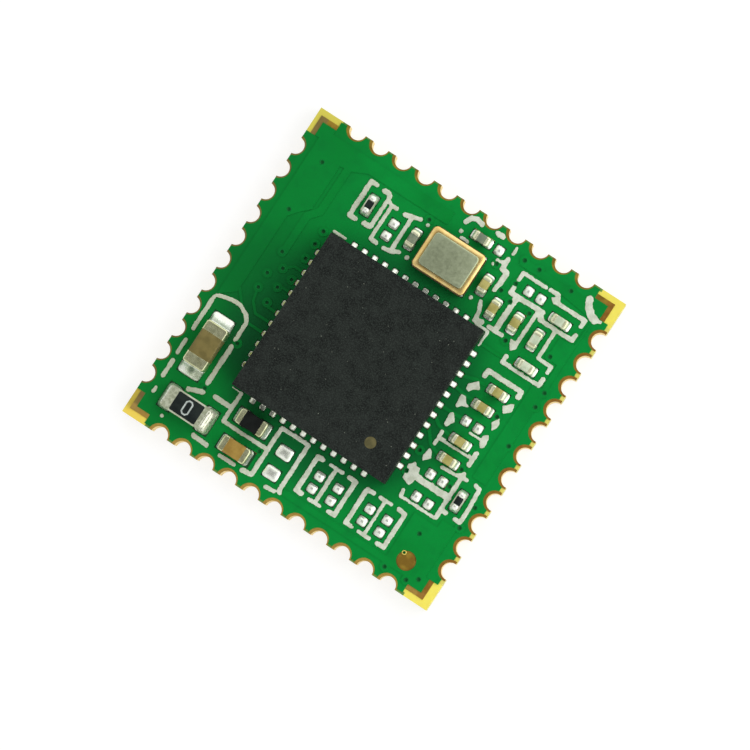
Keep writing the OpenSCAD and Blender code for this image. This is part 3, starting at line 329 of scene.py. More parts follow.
def gold_paint(name, dark, light, roughness=0.45, metallic=0.5, wall=None):
    """Gold or copper. With a wall colour, the plated edges: rings on top, and the walls of the half-holes."""
    p = Paint(name, light, roughness, metallic=metallic)
    tone = p.mix(p.span(p.noise(0.35, 2), 0.35, 0.65), dark, light)
    if wall:
        for which, low, high, share, color in PLATING_BANDS:
            tone = p.tint(tone, p.band(which, low, high, 0.1), share, color)
        tone = p.mix(p.span(p.axis("Z"), *WALL_TO_RING, 1.0, 0.0), tone, wall)
    p.link(tone, "Base Color")
    p.link(p.span(p.noise(0.09, 3, offset=5.0), 0.3, 0.7, roughness - 0.06, roughness + 0.08), "Roughness")
    p.bump(p.noise(0.05, 2), 0.0012, 0.5)
    return p.mat


# Tones of the mask along X: darker on the -X side, plain on the +X side, each from and to
WEST, EAST = (-5.2, -2.6), (3.3, 4.2)
# Darker places of the mask: x, y, radius and soft edge; the first, round the chip, is painted shade
CHIP_SHADE_SPOT, DARK_FIELD, WEST_FIELD = (-0.4, -0.7, 3.4, 1.5), (-3.8, -1.6, 0.5, 1.4), (-4.6, 0.2, 0.5, 2.2)
# From and to in height between the mask on bare laminate and the mask on copper
ONTO_COPPER = (0.785, 0.795)


def mask_paint(name, top):
    """Solder mask. On top it is darker where no copper lies under it, and painted shade darkens it round the
    chip.
    """
    p = Paint(name, (12, 128, 52), 0.34, specular=0.1)
    tone = p.mix(p.span(p.noise(2.5, 2), 0.35, 0.65), (6, 132, 50), (8, 140, 56))
    if top:
        west = p.span(p.axis("X"), *WEST, 1.0, 0.0)
        # Painted shade round the chip, laid on the mask over copper and off it
        chip_shade = p.spot(*CHIP_SHADE_SPOT)
        tone = p.tint(tone, west, 0.7, (8, 121, 46))
        tone = p.tint(tone, chip_shade, 0.35, (12, 96, 46))
        deep = p.mix(p.math("MULTIPLY", west, 0.7), (8, 137, 55), (8, 116, 44))
        deep = p.tint(deep, chip_shade, 0.66, (12, 84, 44))
        deep = p.tint(deep, p.spot(*DARK_FIELD), 0.6, (16, 72, 40))
        deep = p.mix(p.span(p.axis("X"), *EAST), deep, (7, 138, 55))
        tone = p.mix(p.span(p.axis("Z"), *ONTO_COPPER), deep, tone)
        tone = p.tint(tone, p.spot(*WEST_FIELD), 0.48, (8, 80, 34))
    grain = p.noise(0.09, 3, offset=3.0)
    tone = p.mix(p.span(grain, 0.35, 0.75, 0.0, 0.14), tone, (22, 108, 54))
    tone = p.mix(p.span(p.noise(0.5, 3, offset=12.0), 0.45, 0.75, 0.0, 0.22), tone, (10, 96, 44))
    dust = p.span(p.cells(0.55), 0.0, 0.035, 1.0, 0.0)
    lucky = p.span(p.noise(0.6, 0, offset=9.0), 0.58, 0.64)
    tone = p.tint(tone, p.math("MULTIPLY", dust, lucky), 0.8, (150, 200, 130))
    p.link(tone, "Base Color")
    p.bump(p.noise(0.25, 2), 0.006, 0.5)
    return p.mat


# Round area about the chip outside which the plugs are paler, and from and to in height of their lip
PLUG_DARK_AREA, PLUG_LIP = (0.0, 0.0, 4.2, 1.0), (0.784, 0.798)


def plug_paint():
    """Mask that has sunk into a via: darker the deeper it lies."""
    p = Paint("mask_plug", (8, 90, 40), 0.4, specular=0.08)
    deep = p.mix(p.noise(0.04, 2), (5, 60, 26), (8, 74, 32))
    deep = p.mix(p.span(p.spot(*PLUG_DARK_AREA), 0.0, 1.0, 0.5, 0.0), deep, (8, 100, 42))
    p.link(p.mix(p.span(p.axis("Z"), *PLUG_LIP), deep, (8, 116, 50)), "Base Color")
    return p.mat


def ink_paint(name, light, dark, west=None):
    """Printed ink. With a west colour it goes over into that colour towards -X."""
    p = Paint(name, light, 0.6, specular=0.2)
    blotch = p.mix(p.span(p.noise(0.22, 3), 0.35, 0.7), light, dark)
    if west:
        blotch = p.mix(p.span(p.axis("X"), -5.0, 0.0, 0.7, 0.0), blotch, west)
    pore = p.span(p.noise(0.035, 2, offset=2.0), 0.5, 0.75, 0.0, 0.25)
    p.link(p.mix(pore, blotch, (160, 168, 158)), "Base Color")
    p.bump(p.noise(0.04, 3), 0.004, 0.6)
    return p.mat


def mould_paint():
    p = Paint("mould_compound", (28, 32, 30), 0.5, specular=0.1)
    tone = p.mix(p.span(p.noise(0.45, 2), 0.35, 0.65), (23, 26, 24), (34, 38, 35))
    grain = p.noise(0.045, 3)
    tone = p.mix(p.span(grain, 0.42, 0.7, 0.0, 0.6), tone, (58, 65, 60))
    coarse = p.noise(0.1, 2, offset=8.0)
    tone = p.mix(p.span(coarse, 0.5, 0.72, 0.0, 0.4), tone, (50, 57, 52))
    filler = p.span(p.cells(0.16), 0.0, 0.15, 1.0, 0.0)
    lucky = p.span(p.noise(0.2, 0, offset=4.0), 0.6, 0.66)
    tone = p.tint(tone, p.math("MULTIPLY", filler, lucky), 0.85, (150, 156, 140))
    scuff = p.span(p.noise(0.02, 1, (1.0, 0.12, 1.0), offset=7.0), 0.7, 0.8, 0.0, 0.35)
    tone = p.mix(scuff, tone, (84, 92, 86))
    p.link(tone, "Base Color")
    p.bump(grain, 0.006, 0.7)
    return p.mat


def metal_paint(name, dark, light, roughness, grain=0.05, metallic=0.9, bump=0.0):
    p = Paint(name, light, roughness, metallic=metallic)
    p.link(p.mix(p.span(p.noise(grain, 3), 0.35, 0.65), dark, light), "Base Color")
    sheen = p.noise(grain * 0.7, 2, offset=6.0)
    p.link(p.span(sheen, 0.3, 0.7, roughness - 0.04, roughness + 0.04), "Roughness")
    if bump:
        p.bump(p.noise(grain, 2, offset=1.0), bump, 0.5)
    return p.mat


def ceramic_paint(name, dark, light, roughness=0.4, grain=0.05, specular=0.3):
    p = Paint(name, light, roughness, specular=specular)
    tone = p.mix(p.span(p.noise(0.3, 2), 0.35, 0.65), dark, light)
    shade = [v * 0.6 for v in srgb(*dark)]
    tone = p.mix(p.span(p.noise(grain, 2, offset=3.0), 0.5, 0.75, 0.0, 0.22), tone, shade)
    p.link(tone, "Base Color")
    p.bump(p.noise(grain, 2), 0.0015, 0.5)
    return p.mat


# Painted shade in the dip of the joint at the -Y end of the bulk capacitor: x, y, radius and soft edge
BULK_DIP_SHADE = (-4.8, -3.62, 0.05, 0.13)
# The jumper's two joints, which get painted shade, along X and both along Y: low, high and soft edge
JUMPER_LEFT, JUMPER_RIGHT, JUMPER_Y = (-5.3, -4.8, 0.05), (-3.8, -3.1, 0.05), (-5.2, -4.3, 0.05)
# The beads on the -X side of the chip, which get painted shade, along X and along Y
SHADED_BEADS_X, SHADED_BEADS_Y = (-3.75, -3.3, 0.02), (-3.2, 3.0, 0.1)


def joint_paint():
    """Solder: white, with painted shade at the joints that the photograph shows dull."""
    p = Paint("solder_joint", (250, 253, 242), 0.27, metallic=0.68)
    tone = p.mix(p.span(p.noise(0.16, 3), 0.35, 0.65), (234, 240, 224), (250, 253, 242))
    # Painted shade in the bulk capacitor's dip
    dip_shade = p.spot(*BULK_DIP_SHADE)
    tone = p.tint(tone, dip_shade, 0.8, (96, 116, 100))
    # Painted shade over the jumper's joints, mottled with flecks of painted shade
    left_joint_shade = p.math("MULTIPLY", p.band("X", *JUMPER_LEFT), p.band("Y", *JUMPER_Y))
    tone = p.tint(tone, left_joint_shade, 0.4, (160, 172, 138))
    right_joint_shade = p.math("MULTIPLY", p.band("X", *JUMPER_RIGHT), p.band("Y", *JUMPER_Y))
    tone = p.tint(tone, right_joint_shade, 0.3, (214, 212, 164))
    both = p.math("MAXIMUM", left_joint_shade, right_joint_shade)
    fleck_shade = p.span(p.noise(0.07, 2, offset=15.0), 0.5, 0.68, 0.0, 0.6)
    tone = p.mix(p.math("MULTIPLY", both, fleck_shade), tone, (120, 122, 92))
    # Painted shade on the beads at the chip's -X side
    west = p.math("MULTIPLY", p.band("X", *SHADED_BEADS_X), p.band("Y", *SHADED_BEADS_Y))
    tone = p.tint(tone, west, 0.85, (160, 168, 92))
    p.link(tone, "Base Color")
    p.link(p.span(p.noise(0.11, 2, offset=6.0), 0.3, 0.7, 0.23, 0.31), "Roughness")
    p.bump(p.noise(0.16, 2, offset=1.0), 0.0006, 0.5)
    return p.mat


PAINTS = {
    "laminate": laminate_paint(),
    "plated_gold": gold_paint("plated_rim", (138, 106, 28), (168, 136, 44), wall=(250, 224, 142)),
    "land_gold": metal_paint("tinned_land", (170, 178, 160), (200, 206, 190), 0.3),
    "copper": gold_paint("bare_copper", (120, 70, 30), (176, 112, 60)),
    "mask_green": mask_paint("mask_top", True),
    "mask_green_bottom": mask_paint("mask_bottom", False),
    "legend_ink": ink_paint("legend", (220, 226, 208), (194, 202, 180), (184, 190, 164)),
    "figure_ink": ink_paint("figure", (186, 196, 190), (160, 170, 164)),
    "mould_black": mould_paint(),
    "dot_mark": ceramic_paint("dot_recess", (84, 80, 50), (104, 98, 62), 0.5, specular=0.2),
    "lead_tin": metal_paint("lead_finish", (176, 176, 164), (216, 216, 206), 0.35),
    "solder": joint_paint(),
    "end_metal": metal_paint("end_finish", (206, 208, 162), (226, 229, 186), 0.27, 0.2, 0.88),
    "crystal_ceramic": ceramic_paint("can_base", (70, 58, 38), (92, 78, 52), 0.5),
    "seal_gold": metal_paint("can_ring", (236, 200, 122), (250, 222, 150), 0.24, 0.3, 0.82),
    "lid_metal": metal_paint("can_lid", (168, 178, 144), (180, 190, 156), 0.38, 0.12, 0.78),
    "bulk_ceramic": ceramic_paint("bulk_block", (106, 96, 52), (122, 110, 62)),
    "bypass_ceramic": ceramic_paint("bypass_block", (146, 116, 50), (164, 134, 64)),
    "small_ceramic": ceramic_paint("small_block", (160, 152, 84), (182, 174, 104)),
    "grey_ceramic": ceramic_paint("grey_block", (108, 122, 102), (134, 142, 118)),
    "pale_ceramic": ceramic_paint("pale_block", (186, 200, 170), (210, 220, 194)),
    "ferrite": ceramic_paint("ferrite_block", (14, 17, 15), (22, 25, 23), 0.55, specular=0.12),
    "alumina": ceramic_paint("alumina_plate", (170, 176, 150), (200, 204, 182)),
    "resistor_coat": ceramic_paint("resistor_glaze", (22, 30, 29), (34, 42, 39), 0.45, specular=0.15),
}
PLUG = plug_paint()
BRIGHT_GOLD = gold_paint("open_via_ring", (226, 206, 96), (244, 228, 124), 0.4, 0.3)
SMALL_END = metal_paint("small_end_finish", (222, 224, 182), (240, 242, 208), 0.3, 0.2, 0.6)
JUMPER_END = metal_paint("jumper_end_finish", (196, 204, 170), (236, 242, 214), 0.32, 0.1, 0.66,
                         0.001)
SLOT_OF = {n: o.material_slots[0].material.name for n, o in NODES.items()}
for name, node in NODES.items():
    node.material_slots[0].link = "OBJECT"
    node.material_slots[0].material = PAINTS[SLOT_OF[name].split(".")[0]]
NODES["jumper_ends"].material_slots[0].material = JUMPER_END


# ---------- Legend ink with uneven edges ----------

Z_MASK, Z_INK = box_mm("silkscreen_top")[0][2], box_mm("silkscreen_top")[1][2]
HALF = box_mm("board_core")[1][0]
# Grid of the ink's outline, and how many finer cells its field is worked out on for each
LEGEND_STEP, LEGEND_FINE = 0.02, 2
# Blur of the outline and of its raggedness and waviness, in fine cells, and how strong those two are
EDGE_BLUR, RAGGED_BLUR, WAVY_BLUR = 1.8, 2.2, 9.0
RAGGED, WAVY = 0.1, 0.09
# Blur and level past which no ink is left, and the least field beside the outline
FAR_BLUR, FAR_LEVEL, LEAST_FIELD = 3.0, 0.05, 0.004
# Drop of the ink's top at its edge, and the field at which that drop starts
EDGE_DROP, ROUND_OVER = 0.006, 0.35


def plan_of(node, level, step):
    """Which cells of a grid over the board lie under the faces of a CAD node at one height."""
    co, tri = corners_mm(node)
    pts = co[tri]
    pts = pts[(np.abs(pts[:, :, 2] - level) < SAME_HEIGHT).all(axis=1)][:, :, :2]
    count = int(round(2 * HALF / step)) + 1
    grid = np.zeros((count, count), bool)
    for t in (pts + HALF) / step:
        x0, y0 = np.floor(t.min(0)).astype(int)
        x1, y1 = np.ceil(t.max(0)).astype(int) + 1
        xs, ys = np.meshgrid(np.arange(x0, x1), np.arange(y0, y1), indexing="ij")
        (ax, ay), (bx, by), (cx, cy) = t
        e1 = (bx - ax) * (ys - ay) - (by - ay) * (xs - ax)
        e2 = (cx - bx) * (ys - by) - (cy - by) * (xs - bx)
        e3 = (ax - cx) * (ys - cy) - (ay - cy) * (xs - cx)
        inside = ((e1 >= 0) & (e2 >= 0) & (e3 >= 0)) | ((e1 <= 0) & (e2 <= 0) & (e3 <= 0))
        grid[x0:x1, y0:y1] |= inside
    return grid


def blurred(grid, sigma):
    """Gaussian blur of a grid, sigma in cells."""
    f = [np.fft.fftfreq(n) for n in grid.shape]
    gain = np.exp(-2 * (math.pi * sigma) ** 2 * (f[0][:, None] ** 2 + f[1][None, :] ** 2))
    return np.fft.ifft2(np.fft.fft2(grid) * gain).real


def contour_solid(field, step, bottom, top, edge_drop):
    """Closed solid over the part of the grid where field is above 0, with its top rounded off at the edge."""
    inside = field > 0
    nx, ny = field.shape
    xs = np.arange(nx) * step - HALF
    grid_id = np.full((nx, ny), -1)
    gi, gj = np.nonzero(inside)
    grid_id[gi, gj] = np.arange(len(gi))
    verts = [np.stack([xs[gi], xs[gj]], 1)]
    total = len(gi)
    cross = {}
    for axis in (0, 1):
        a = field[:-1, :] if axis == 0 else field[:, :-1]
        b = field[1:, :] if axis == 0 else field[:, 1:]
        ei, ej = np.nonzero((a > 0) != (b > 0))
        t = a[ei, ej] / (a[ei, ej] - b[ei, ej])
        at = np.stack([xs[ei] + (t * step if axis == 0 else 0), xs[ej] + (t * step if axis == 1 else 0)], 1)
        ids = np.full(a.shape, -1)
        ids[ei, ej] = total + np.arange(len(ei))
        cross[axis] = ids
        verts.append(at)
        total += len(ei)
    verts = np.concatenate(verts)
    c = [grid_id[:-1, :-1], grid_id[1:, :-1], grid_id[1:, 1:], grid_id[:-1, 1:]]
    e = [cross[0][:, :-1], cross[1][1:, :], cross[0][:, 1:], cross[1][:-1, :]]
    code = sum((c[k] >= 0).astype(int) << k for k in range(4))
    faces, rim = [], []
    for case in range(1, 16):
        at = np.nonzero(code == case)
        if not len(at[0]):
            continue
        on = [bool(case >> k & 1) for k in range(4)]
        loops = []
        if case in (5, 10):
            k = 0 if case == 5 else 1
            for q in (k, k + 2):
                loops.append([("c", q), ("e", q), ("e", (q + 3) % 4)])
        else:
            loop = []
            for k in range(4):
                if on[k]:
                    loop.append(("c", k))
                if on[k] != on[(k + 1) % 4]:
                    loop.append(("e", k))
            loops.append(loop)
        for loop in loops:
            cols = [(c if kind == "c" else e)[k][at] for kind, k in loop]
            faces.extend(map(tuple, np.stack(cols, 1).tolist()))
            for i, (kind, k) in enumerate(loop):
                kind2 = loop[(i + 1) % len(loop)][0]
                if kind == "e" and kind2 == "e":
                    rim.extend(zip(cols[i].tolist(), cols[(i + 1) % len(loop)].tolist()))
    height = np.full(total, top - edge_drop)
    height[:len(gi)] = top - edge_drop * np.clip(1 - field[gi, gj] / ROUND_OVER, 0, 1) ** 2
    n = total
    out = np.concatenate([np.c_[verts, height], np.c_[verts, np.full(n, bottom)]])
    under = [tuple(i + n for i in f[::-1]) for f in faces]
    sides = [(b, a, a + n, b + n) for a, b in rim]
    return out, faces + under + sides


def make_legend():
    """The printed ink, with the uneven edges that screen printing leaves."""
    plan = plan_of("silkscreen_top", Z_INK, LEGEND_STEP / LEGEND_FINE)
    rng = np.random.default_rng(11)
    ragged = blurred(rng.standard_normal(plan.shape), RAGGED_BLUR)
    ragged /= ragged.std()
    wavy = blurred(rng.standard_normal(plan.shape), WAVY_BLUR)
    wavy /= wavy.std()
    field = blurred(plan.astype(float), EDGE_BLUR) - 0.5 + RAGGED * ragged + WAVY * wavy
    field[~(blurred(plan.astype(float), FAR_BLUR) > FAR_LEVEL)] = -0.5
    field = np.where(np.abs(field) < LEAST_FIELD, LEAST_FIELD, field)
    field = field[::LEGEND_FINE, ::LEGEND_FINE]
    verts, faces = contour_solid(field, LEGEND_STEP, Z_MASK, Z_INK, EDGE_DROP)
    piece("legend_ink", verts, faces, PAINTS["legend_ink"], ["silkscreen_top"])


make_legend()


# ---------- Lands and vias ----------

# Height and width of the round edge on top of a land
LAND_EDGE_H, LAND_EDGE_W = 0.004, 0.005
# Radius of a mask plug, height of its foot in the board and of its lip
PLUG_R, PLUG_FOOT = 0.09, 0.70
Z_PLUG = box_mm("solder_mask_top")[1][2]
# A mask plug from its lip inwards: distance from its side, and height against the mask
PLUG_SINK = ((0.0, 0.0), (0.01, 0.004), (0.024, -0.003), (0.038, -0.018), (0.06, -0.03))
# Distance from the placing target within which a via is left open, with a bright ring round its plug
TARGET_CLEAR = 0.4
RING_IN, RING_OUT, OPEN_PLUG_R = 0.05, 0.082, 0.049
# Reach of the tinning past the bypass capacitor's own box
BYPASS = box_mm("bypass_capacitor_ends")
BYPASS_REACH = (BYPASS[0] - 0.1, BYPASS[1] + np.array([0.06, 0.1, 0.0]))


def rounded_lands(name, node, share, reach=()):
    """The lands of a CAD node with rounded corners, as the printed board has them. reach gives boxes past
    which a land under them isn't tinned."""
    shape = Shape()
    for low, high in islands(node):
        low, high = low.copy(), high.copy()
        for part_low, part_high in reach:
            if (low[:2] <= part_high[:2]).all() and (high[:2] >= part_low[:2]).all():
                low[:2] = np.maximum(low[:2], part_low[:2])
                high[:2] = np.minimum(high[:2], part_high[:2])
        centre, half = (low + high) / 2, (high - low) / 2
        r = share * 2 * min(half[:2]) if min(half[:2]) < 1 else 0.05
        shape.loft([ring_at(centre, half, inset, r, z)
                    for inset, z in ((0, low[2]), (0, high[2] - LAND_EDGE_H), (LAND_EDGE_W, high[2]))])
    shape.made(name, "land_gold", [node])


def make_open_via(x, y):
    """The bright ring of the via at the placing target, round a small dark plug of mask."""
    ring, plug = Shape(), Shape()
    top = Z_PLUG + 0.004
    around = np.linspace(0, 2 * math.pi, 28, endpoint=False)
    profile = ((RING_IN, Z_MASK - 0.01), (RING_IN, top - 0.006), (0.056, top), (0.074, top),
               (RING_OUT, top - 0.008), (RING_OUT, Z_MASK - 0.01))
    ring.loft([[(x + r * math.cos(t), y + r * math.sin(t), z) for r, z in profile] for t in around],
              closed=True)
    plug.loft(circles(x, y, ((0.02, PLUG_FOOT), (OPEN_PLUG_R, PLUG_FOOT), (OPEN_PLUG_R, top - 0.014),
                             (0.03, top - 0.022), (0.008, top - 0.026)), 28))
    ring.made("target_via_ring", "plated_gold", material=BRIGHT_GOLD)
    plug.made("target_via_plug", "mask_green", material=PLUG)


def make_via_plugs():
    """The mask that has run into each via, sunk a little in the middle."""
    low = box_mm("top_copper")[0][2]
    shape = Shape()
    target = sum(box_mm("placing_target")) / 2
    for a, b in islands("top_copper", low):
        x, y = (a + b)[:2] / 2
        if math.hypot(x - target[0], y - target[1]) < TARGET_CLEAR:
            make_open_via(x, y)
            continue
        profile = [(0.02, PLUG_FOOT), (PLUG_R - 0.03, PLUG_FOOT), (PLUG_R, Z_MASK)]
        profile += [(PLUG_R - inset, Z_PLUG + rise) for inset, rise in PLUG_SINK]
        profile.append((0.008, Z_PLUG - 0.034))
        shape.loft(circles(x, y, profile, 20))
    shape.made("via_plugs", "mask_green", material=PLUG)


rounded_lands("tinned_part_lands", "passive_lands", 0.26, [BYPASS_REACH])
rounded_lands("tinned_lead_lands", "chip_lands", 0.3)
make_via_plugs()


# ---------- Solder ----------

# Height of a bead's toe and its rise from there to the lead, thickness of the film under the lead, and
# the side past which a piece is the film under the heat pad
BEAD_TOE, BEAD_RISE, BEAD_FILM, PAD_LEAST = 0.012, 0.105, 0.04, 1
# A bead's sections from the package's side to its toe, as shares of that distance
BEAD_SECTIONS = (0.15, 0.32, 0.5, 0.68, 0.84, 0.94)
# Drops on small and on large bare lands: height, squareness in plan and power of the dome, and the width
# past which a land is large
SMALL_DROP, LARGE_DROP, LARGE_LAND = (0.085, 3.0, 0.9), (0.07, 5.0, 0.75), 0.4
# Points round a drop, and its rings
DROP_AROUND, DROP_UP = 40, 11


def drop_shape(shape, low, high, height, square, power, rng):
    """Drop of solder on a bare land: a rounded square with a domed top."""
    centre = (low + high) / 2
    half = (high - low) / 2
    turn = np.linspace(0, 2 * math.pi, DROP_AROUND, endpoint=False)
    wobble = 1 + 0.02 * np.sin(turn * 3 + rng.uniform(0, 6))
    tilt = rng.uniform(-0.05, 0.05, 2)
    rings = []
    for k in range(DROP_UP):
        q = math.cos(k / (DROP_UP - 1) * math.pi / 2 * 0.985)
        ring = []
        for i in range(DROP_AROUND):
            t = 2 * math.pi * i / DROP_AROUND
            ct, st = math.cos(t), math.sin(t)
            m = (abs(ct) ** square + abs(st) ** square) ** (-1 / square)
            soft = q * (wobble[i] if q > 0.9 else 1)
            x, y = half[0] * m * ct * soft, half[1] * m * st * soft
            z = height * (1 - q * q) ** power * (1 + tilt[0] * ct * q + tilt[1] * st * q)
            ring.append((centre[0] + x, centre[1] + y, low[2] + z))
        rings.append(ring)
    rings.insert(0, [(x, y, low[2] - 0.004) for x, y, _ in rings[0]])
    shape.loft(rings)


def make_bare_solder():
    """A drop of solder on each land that carries no part."""
    rng = np.random.default_rng(21)
    shape = Shape()
    for low, high in islands("bare_land_solder"):
        drop_shape(shape, low, high, *(LARGE_DROP if high[0] - low[0] > LARGE_LAND else SMALL_DROP), rng)
    shape.made("bare_solder_drops", "solder", ["bare_land_solder"])


def make_chip_solder():
    """A sloping bead of solder at each lead, wetting the lead's end face, and the film under the heat pad."""
    rng = np.random.default_rng(31)
    shape = Shape()
    low_c, high_c = box_mm("chip_body")
    chip_centre = (low_c + high_c) / 2
    for low, high in islands("chip_solder"):
        size = high - low
        centre = (low + high) / 2
        if min(size[:2]) > PAD_LEAST:
            shape.loft([ring_at(centre, size / 2, 0, 0.1, z) for z in (low[2], high[2])])
            continue
        out = centre[:2] - chip_centre[:2]
        side = (0 if out[0] > 0 else 2) if abs(out[0]) > abs(out[1]) else (1 if out[1] > 0 else 3)
        turn = side * math.pi / 2
        ux, uy = (math.cos(turn), math.sin(turn)), (-math.sin(turn), math.cos(turn))
        edge = [high_c[0], high_c[1], -low_c[0], -low_c[1]][side]
        along = centre[0] * uy[0] + centre[1] * uy[1]
        toe = [high[0], high[1], -low[0], -low[1]][side] - edge
        back = -(size[side % 2] - toe)
        half_w = size[(side + 1) % 2] / 2 * rng.uniform(0.86, 0.98)
        top = BEAD_RISE * rng.uniform(0.85, 1.1)
        rings = []
        for s in (back, -0.005, 0.0, *(share * toe for share in BEAD_SECTIONS), toe):
            t = max(0.0, s / toe)
            h = BEAD_FILM if s < -0.001 else BEAD_TOE + top * (1 - t) ** 1.1
            w = half_w * (0.96 if s < 0 else (1 - 0.75 * t ** 3) ** 0.5)
            ring = []
            for k in range(13):
                a = math.pi * k / 12
                cx = math.cos(a)
                ring.append((s, w * math.copysign(abs(cx) ** 0.7, cx), h * math.sin(a) ** 0.5))
            ring += [(s, -w * 0.5, -0.0), (s, w * 0.5, -0.0)]
            rings.append([(ux[0] * (edge + p) + uy[0] * (along + q), ux[1] * (edge + p) + uy[1] * (along + q),
                           low[2] + r) for p, q, r in ring])
        shape.loft(rings)
    shape.made("lead_solder_beads", "solder", ["chip_solder"])


# Rows of a meniscus from the part to the land's edge, and its least height beside the part
SKIRT_ROWS, SKIRT_LEAST = 9, 0.03


def skirt_shape(shape, end_low, end_high, land_low, land_high, rise, away, corner, dimple=0.0):
    """Meniscus of solder round the metal end of a part, down to the edge of its land. away is the unit
    direction out of the part's end, along x or y."""
    axis = 0 if abs(away[0]) > 0.5 else 1
    sign = away[axis]
    inner_c = (end_low + end_high)[:2] / 2
    inner_h = (end_high - end_low)[:2] / 2 - 0.015
    outer_c = (land_low + land_high)[:2] / 2
    outer_h = (land_high - land_low)[:2] / 2
    inner = [np.array(p) + inner_c for p in round_ring(inner_h[0], inner_h[1], 0.05, 7)]
    outer = [np.array(p) + outer_c for p in round_ring(outer_h[0], outer_h[1], corner, 7)]
    base = land_low[2]
    rings = []
    for k in range(SKIRT_ROWS):
        t = k / (SKIRT_ROWS - 1)
        ring = []
        for a, b in zip(inner, outer):
            face = (a[axis] - inner_c[axis]) * sign / inner_h[axis]
            wet = np.clip(face, 0.0, 1.0) ** 1.5
            top = SKIRT_LEAST + (rise - SKIRT_LEAST) * (0.25 + 0.75 * wet)
            p = a + (b - a) * t
            slope = 0.8 * (1 - t) ** 1.7 + 0.2 * (1 - t)
            across = (p[1 - axis] - inner_c[1 - axis]) / inner_h[1 - axis]
            sunk = dimple * math.exp(-(across / 0.42) ** 2) * 4 * t * (1 - t) * wet
            ring.append((p[0], p[1], base + 0.006 + top * slope - sunk))
        rings.append(ring)
    rings.append([(p[0], p[1], base - 0.001) for p in outer])
    rings.append([(p[0], p[1], base - 0.001) for p in inner])
    shape.loft(rings, closed=True)


# A lump of solder from its foot to its top: share of the way in to its middle, and share of its height
LUMP_PROFILE = ((0.0, -0.001), (0.0, 0.05), (0.06, 0.28), (0.14, 0.5), (0.24, 0.69), (0.37, 0.845),
                (0.52, 0.935), (0.7, 0.98), (0.86, 0.996), (0.97, 1.0))
# Share of its height that a lump loses towards its outer end
LUMP_FALL = 0.34


def lump_shape(shape, low, high, rise, corner, away, rng):
    """Lump of solder over a metal end, rise high over the land and lower towards its outer end."""
    centre, half = (low + high) / 2, (high - low) / 2
    reach = min(half[:2])
    phase = rng.uniform(0, 6, 2)
    rings = []
    for inset, z in LUMP_PROFILE:
        d = inset * reach
        ring = []
        plan = round_ring(half[0] - d, half[1] - d, max(corner * (1 - 0.5 * inset), 0.002), 7)
        for i, (x, y) in enumerate(plan):
            a = 2 * math.pi * i / 28
            swell = 1 + 0.02 * math.sin(2 * a + phase[0]) + 0.015 * math.sin(5 * a + phase[1])
            out = (x * away[0] / half[0] + y * away[1] / half[1] + 1) / 2
            fall = 1 - LUMP_FALL * out ** 1.3
            uneven = swell if 0 < z < 0.99 else 1
            ring.append((centre[0] + x, centre[1] + y, low[2] + rise * z * fall * uneven))
        rings.append(ring)
    shape.loft(rings)


def ends_of(node):
    """The two metal ends of a part, each with the unit direction that points away from the other."""
    (a_low, a_high), (b_low, b_high) = islands(node)
    gap = (b_low + b_high)[:2] - (a_low + a_high)[:2]
    axis = int(np.argmax(np.abs(gap)))
    unit = np.zeros(2)
    unit[axis] = math.copysign(1, gap[axis])
    return [(a_low, a_high, -unit), (b_low, b_high, unit)]


END_NODES = sorted(n for n in NODES if n.endswith("_ends"))
LUMPED = ("jumper_ends", "small_resistor_1_ends", "small_resistor_2_ends")
# How far a lump covers a metal end past its inner side, and how much of the jumper's +X end it leaves bare
LUMP_BACK, JUMPER_BARE = 0.02, 0.05
# Height of a lump over its metal end, at the jumper's -X end and elsewhere
LUMP_OVER_WEST, LUMP_OVER = 0.04, 0.09
# Height past which a part counts as tall, for its lumps and for its meniscus
TALL_LUMP, TALL_SKIRT = 0.4, 0.45
# Corner radii in plan: tall and low lumps, tall and low meniscus, and the bypass capacitor's
LUMP_CORNERS, SKIRT_CORNERS, BYPASS_CORNER = (0.14, 0.1), (0.13, 0.1), 0.17
# How deep the joint at the bulk capacitor's -Y end is dimpled
BULK_DIMPLE = 0.06
LANDS = islands("passive_lands")


def land_under(low, high):
    """The land on which the centre of a metal end stands."""
    centre = (low + high) / 2
    for land in LANDS:
        if (land[0][:2] <= centre[:2]).all() and (land[1][:2] >= centre[:2]).all():
            return land
    return None


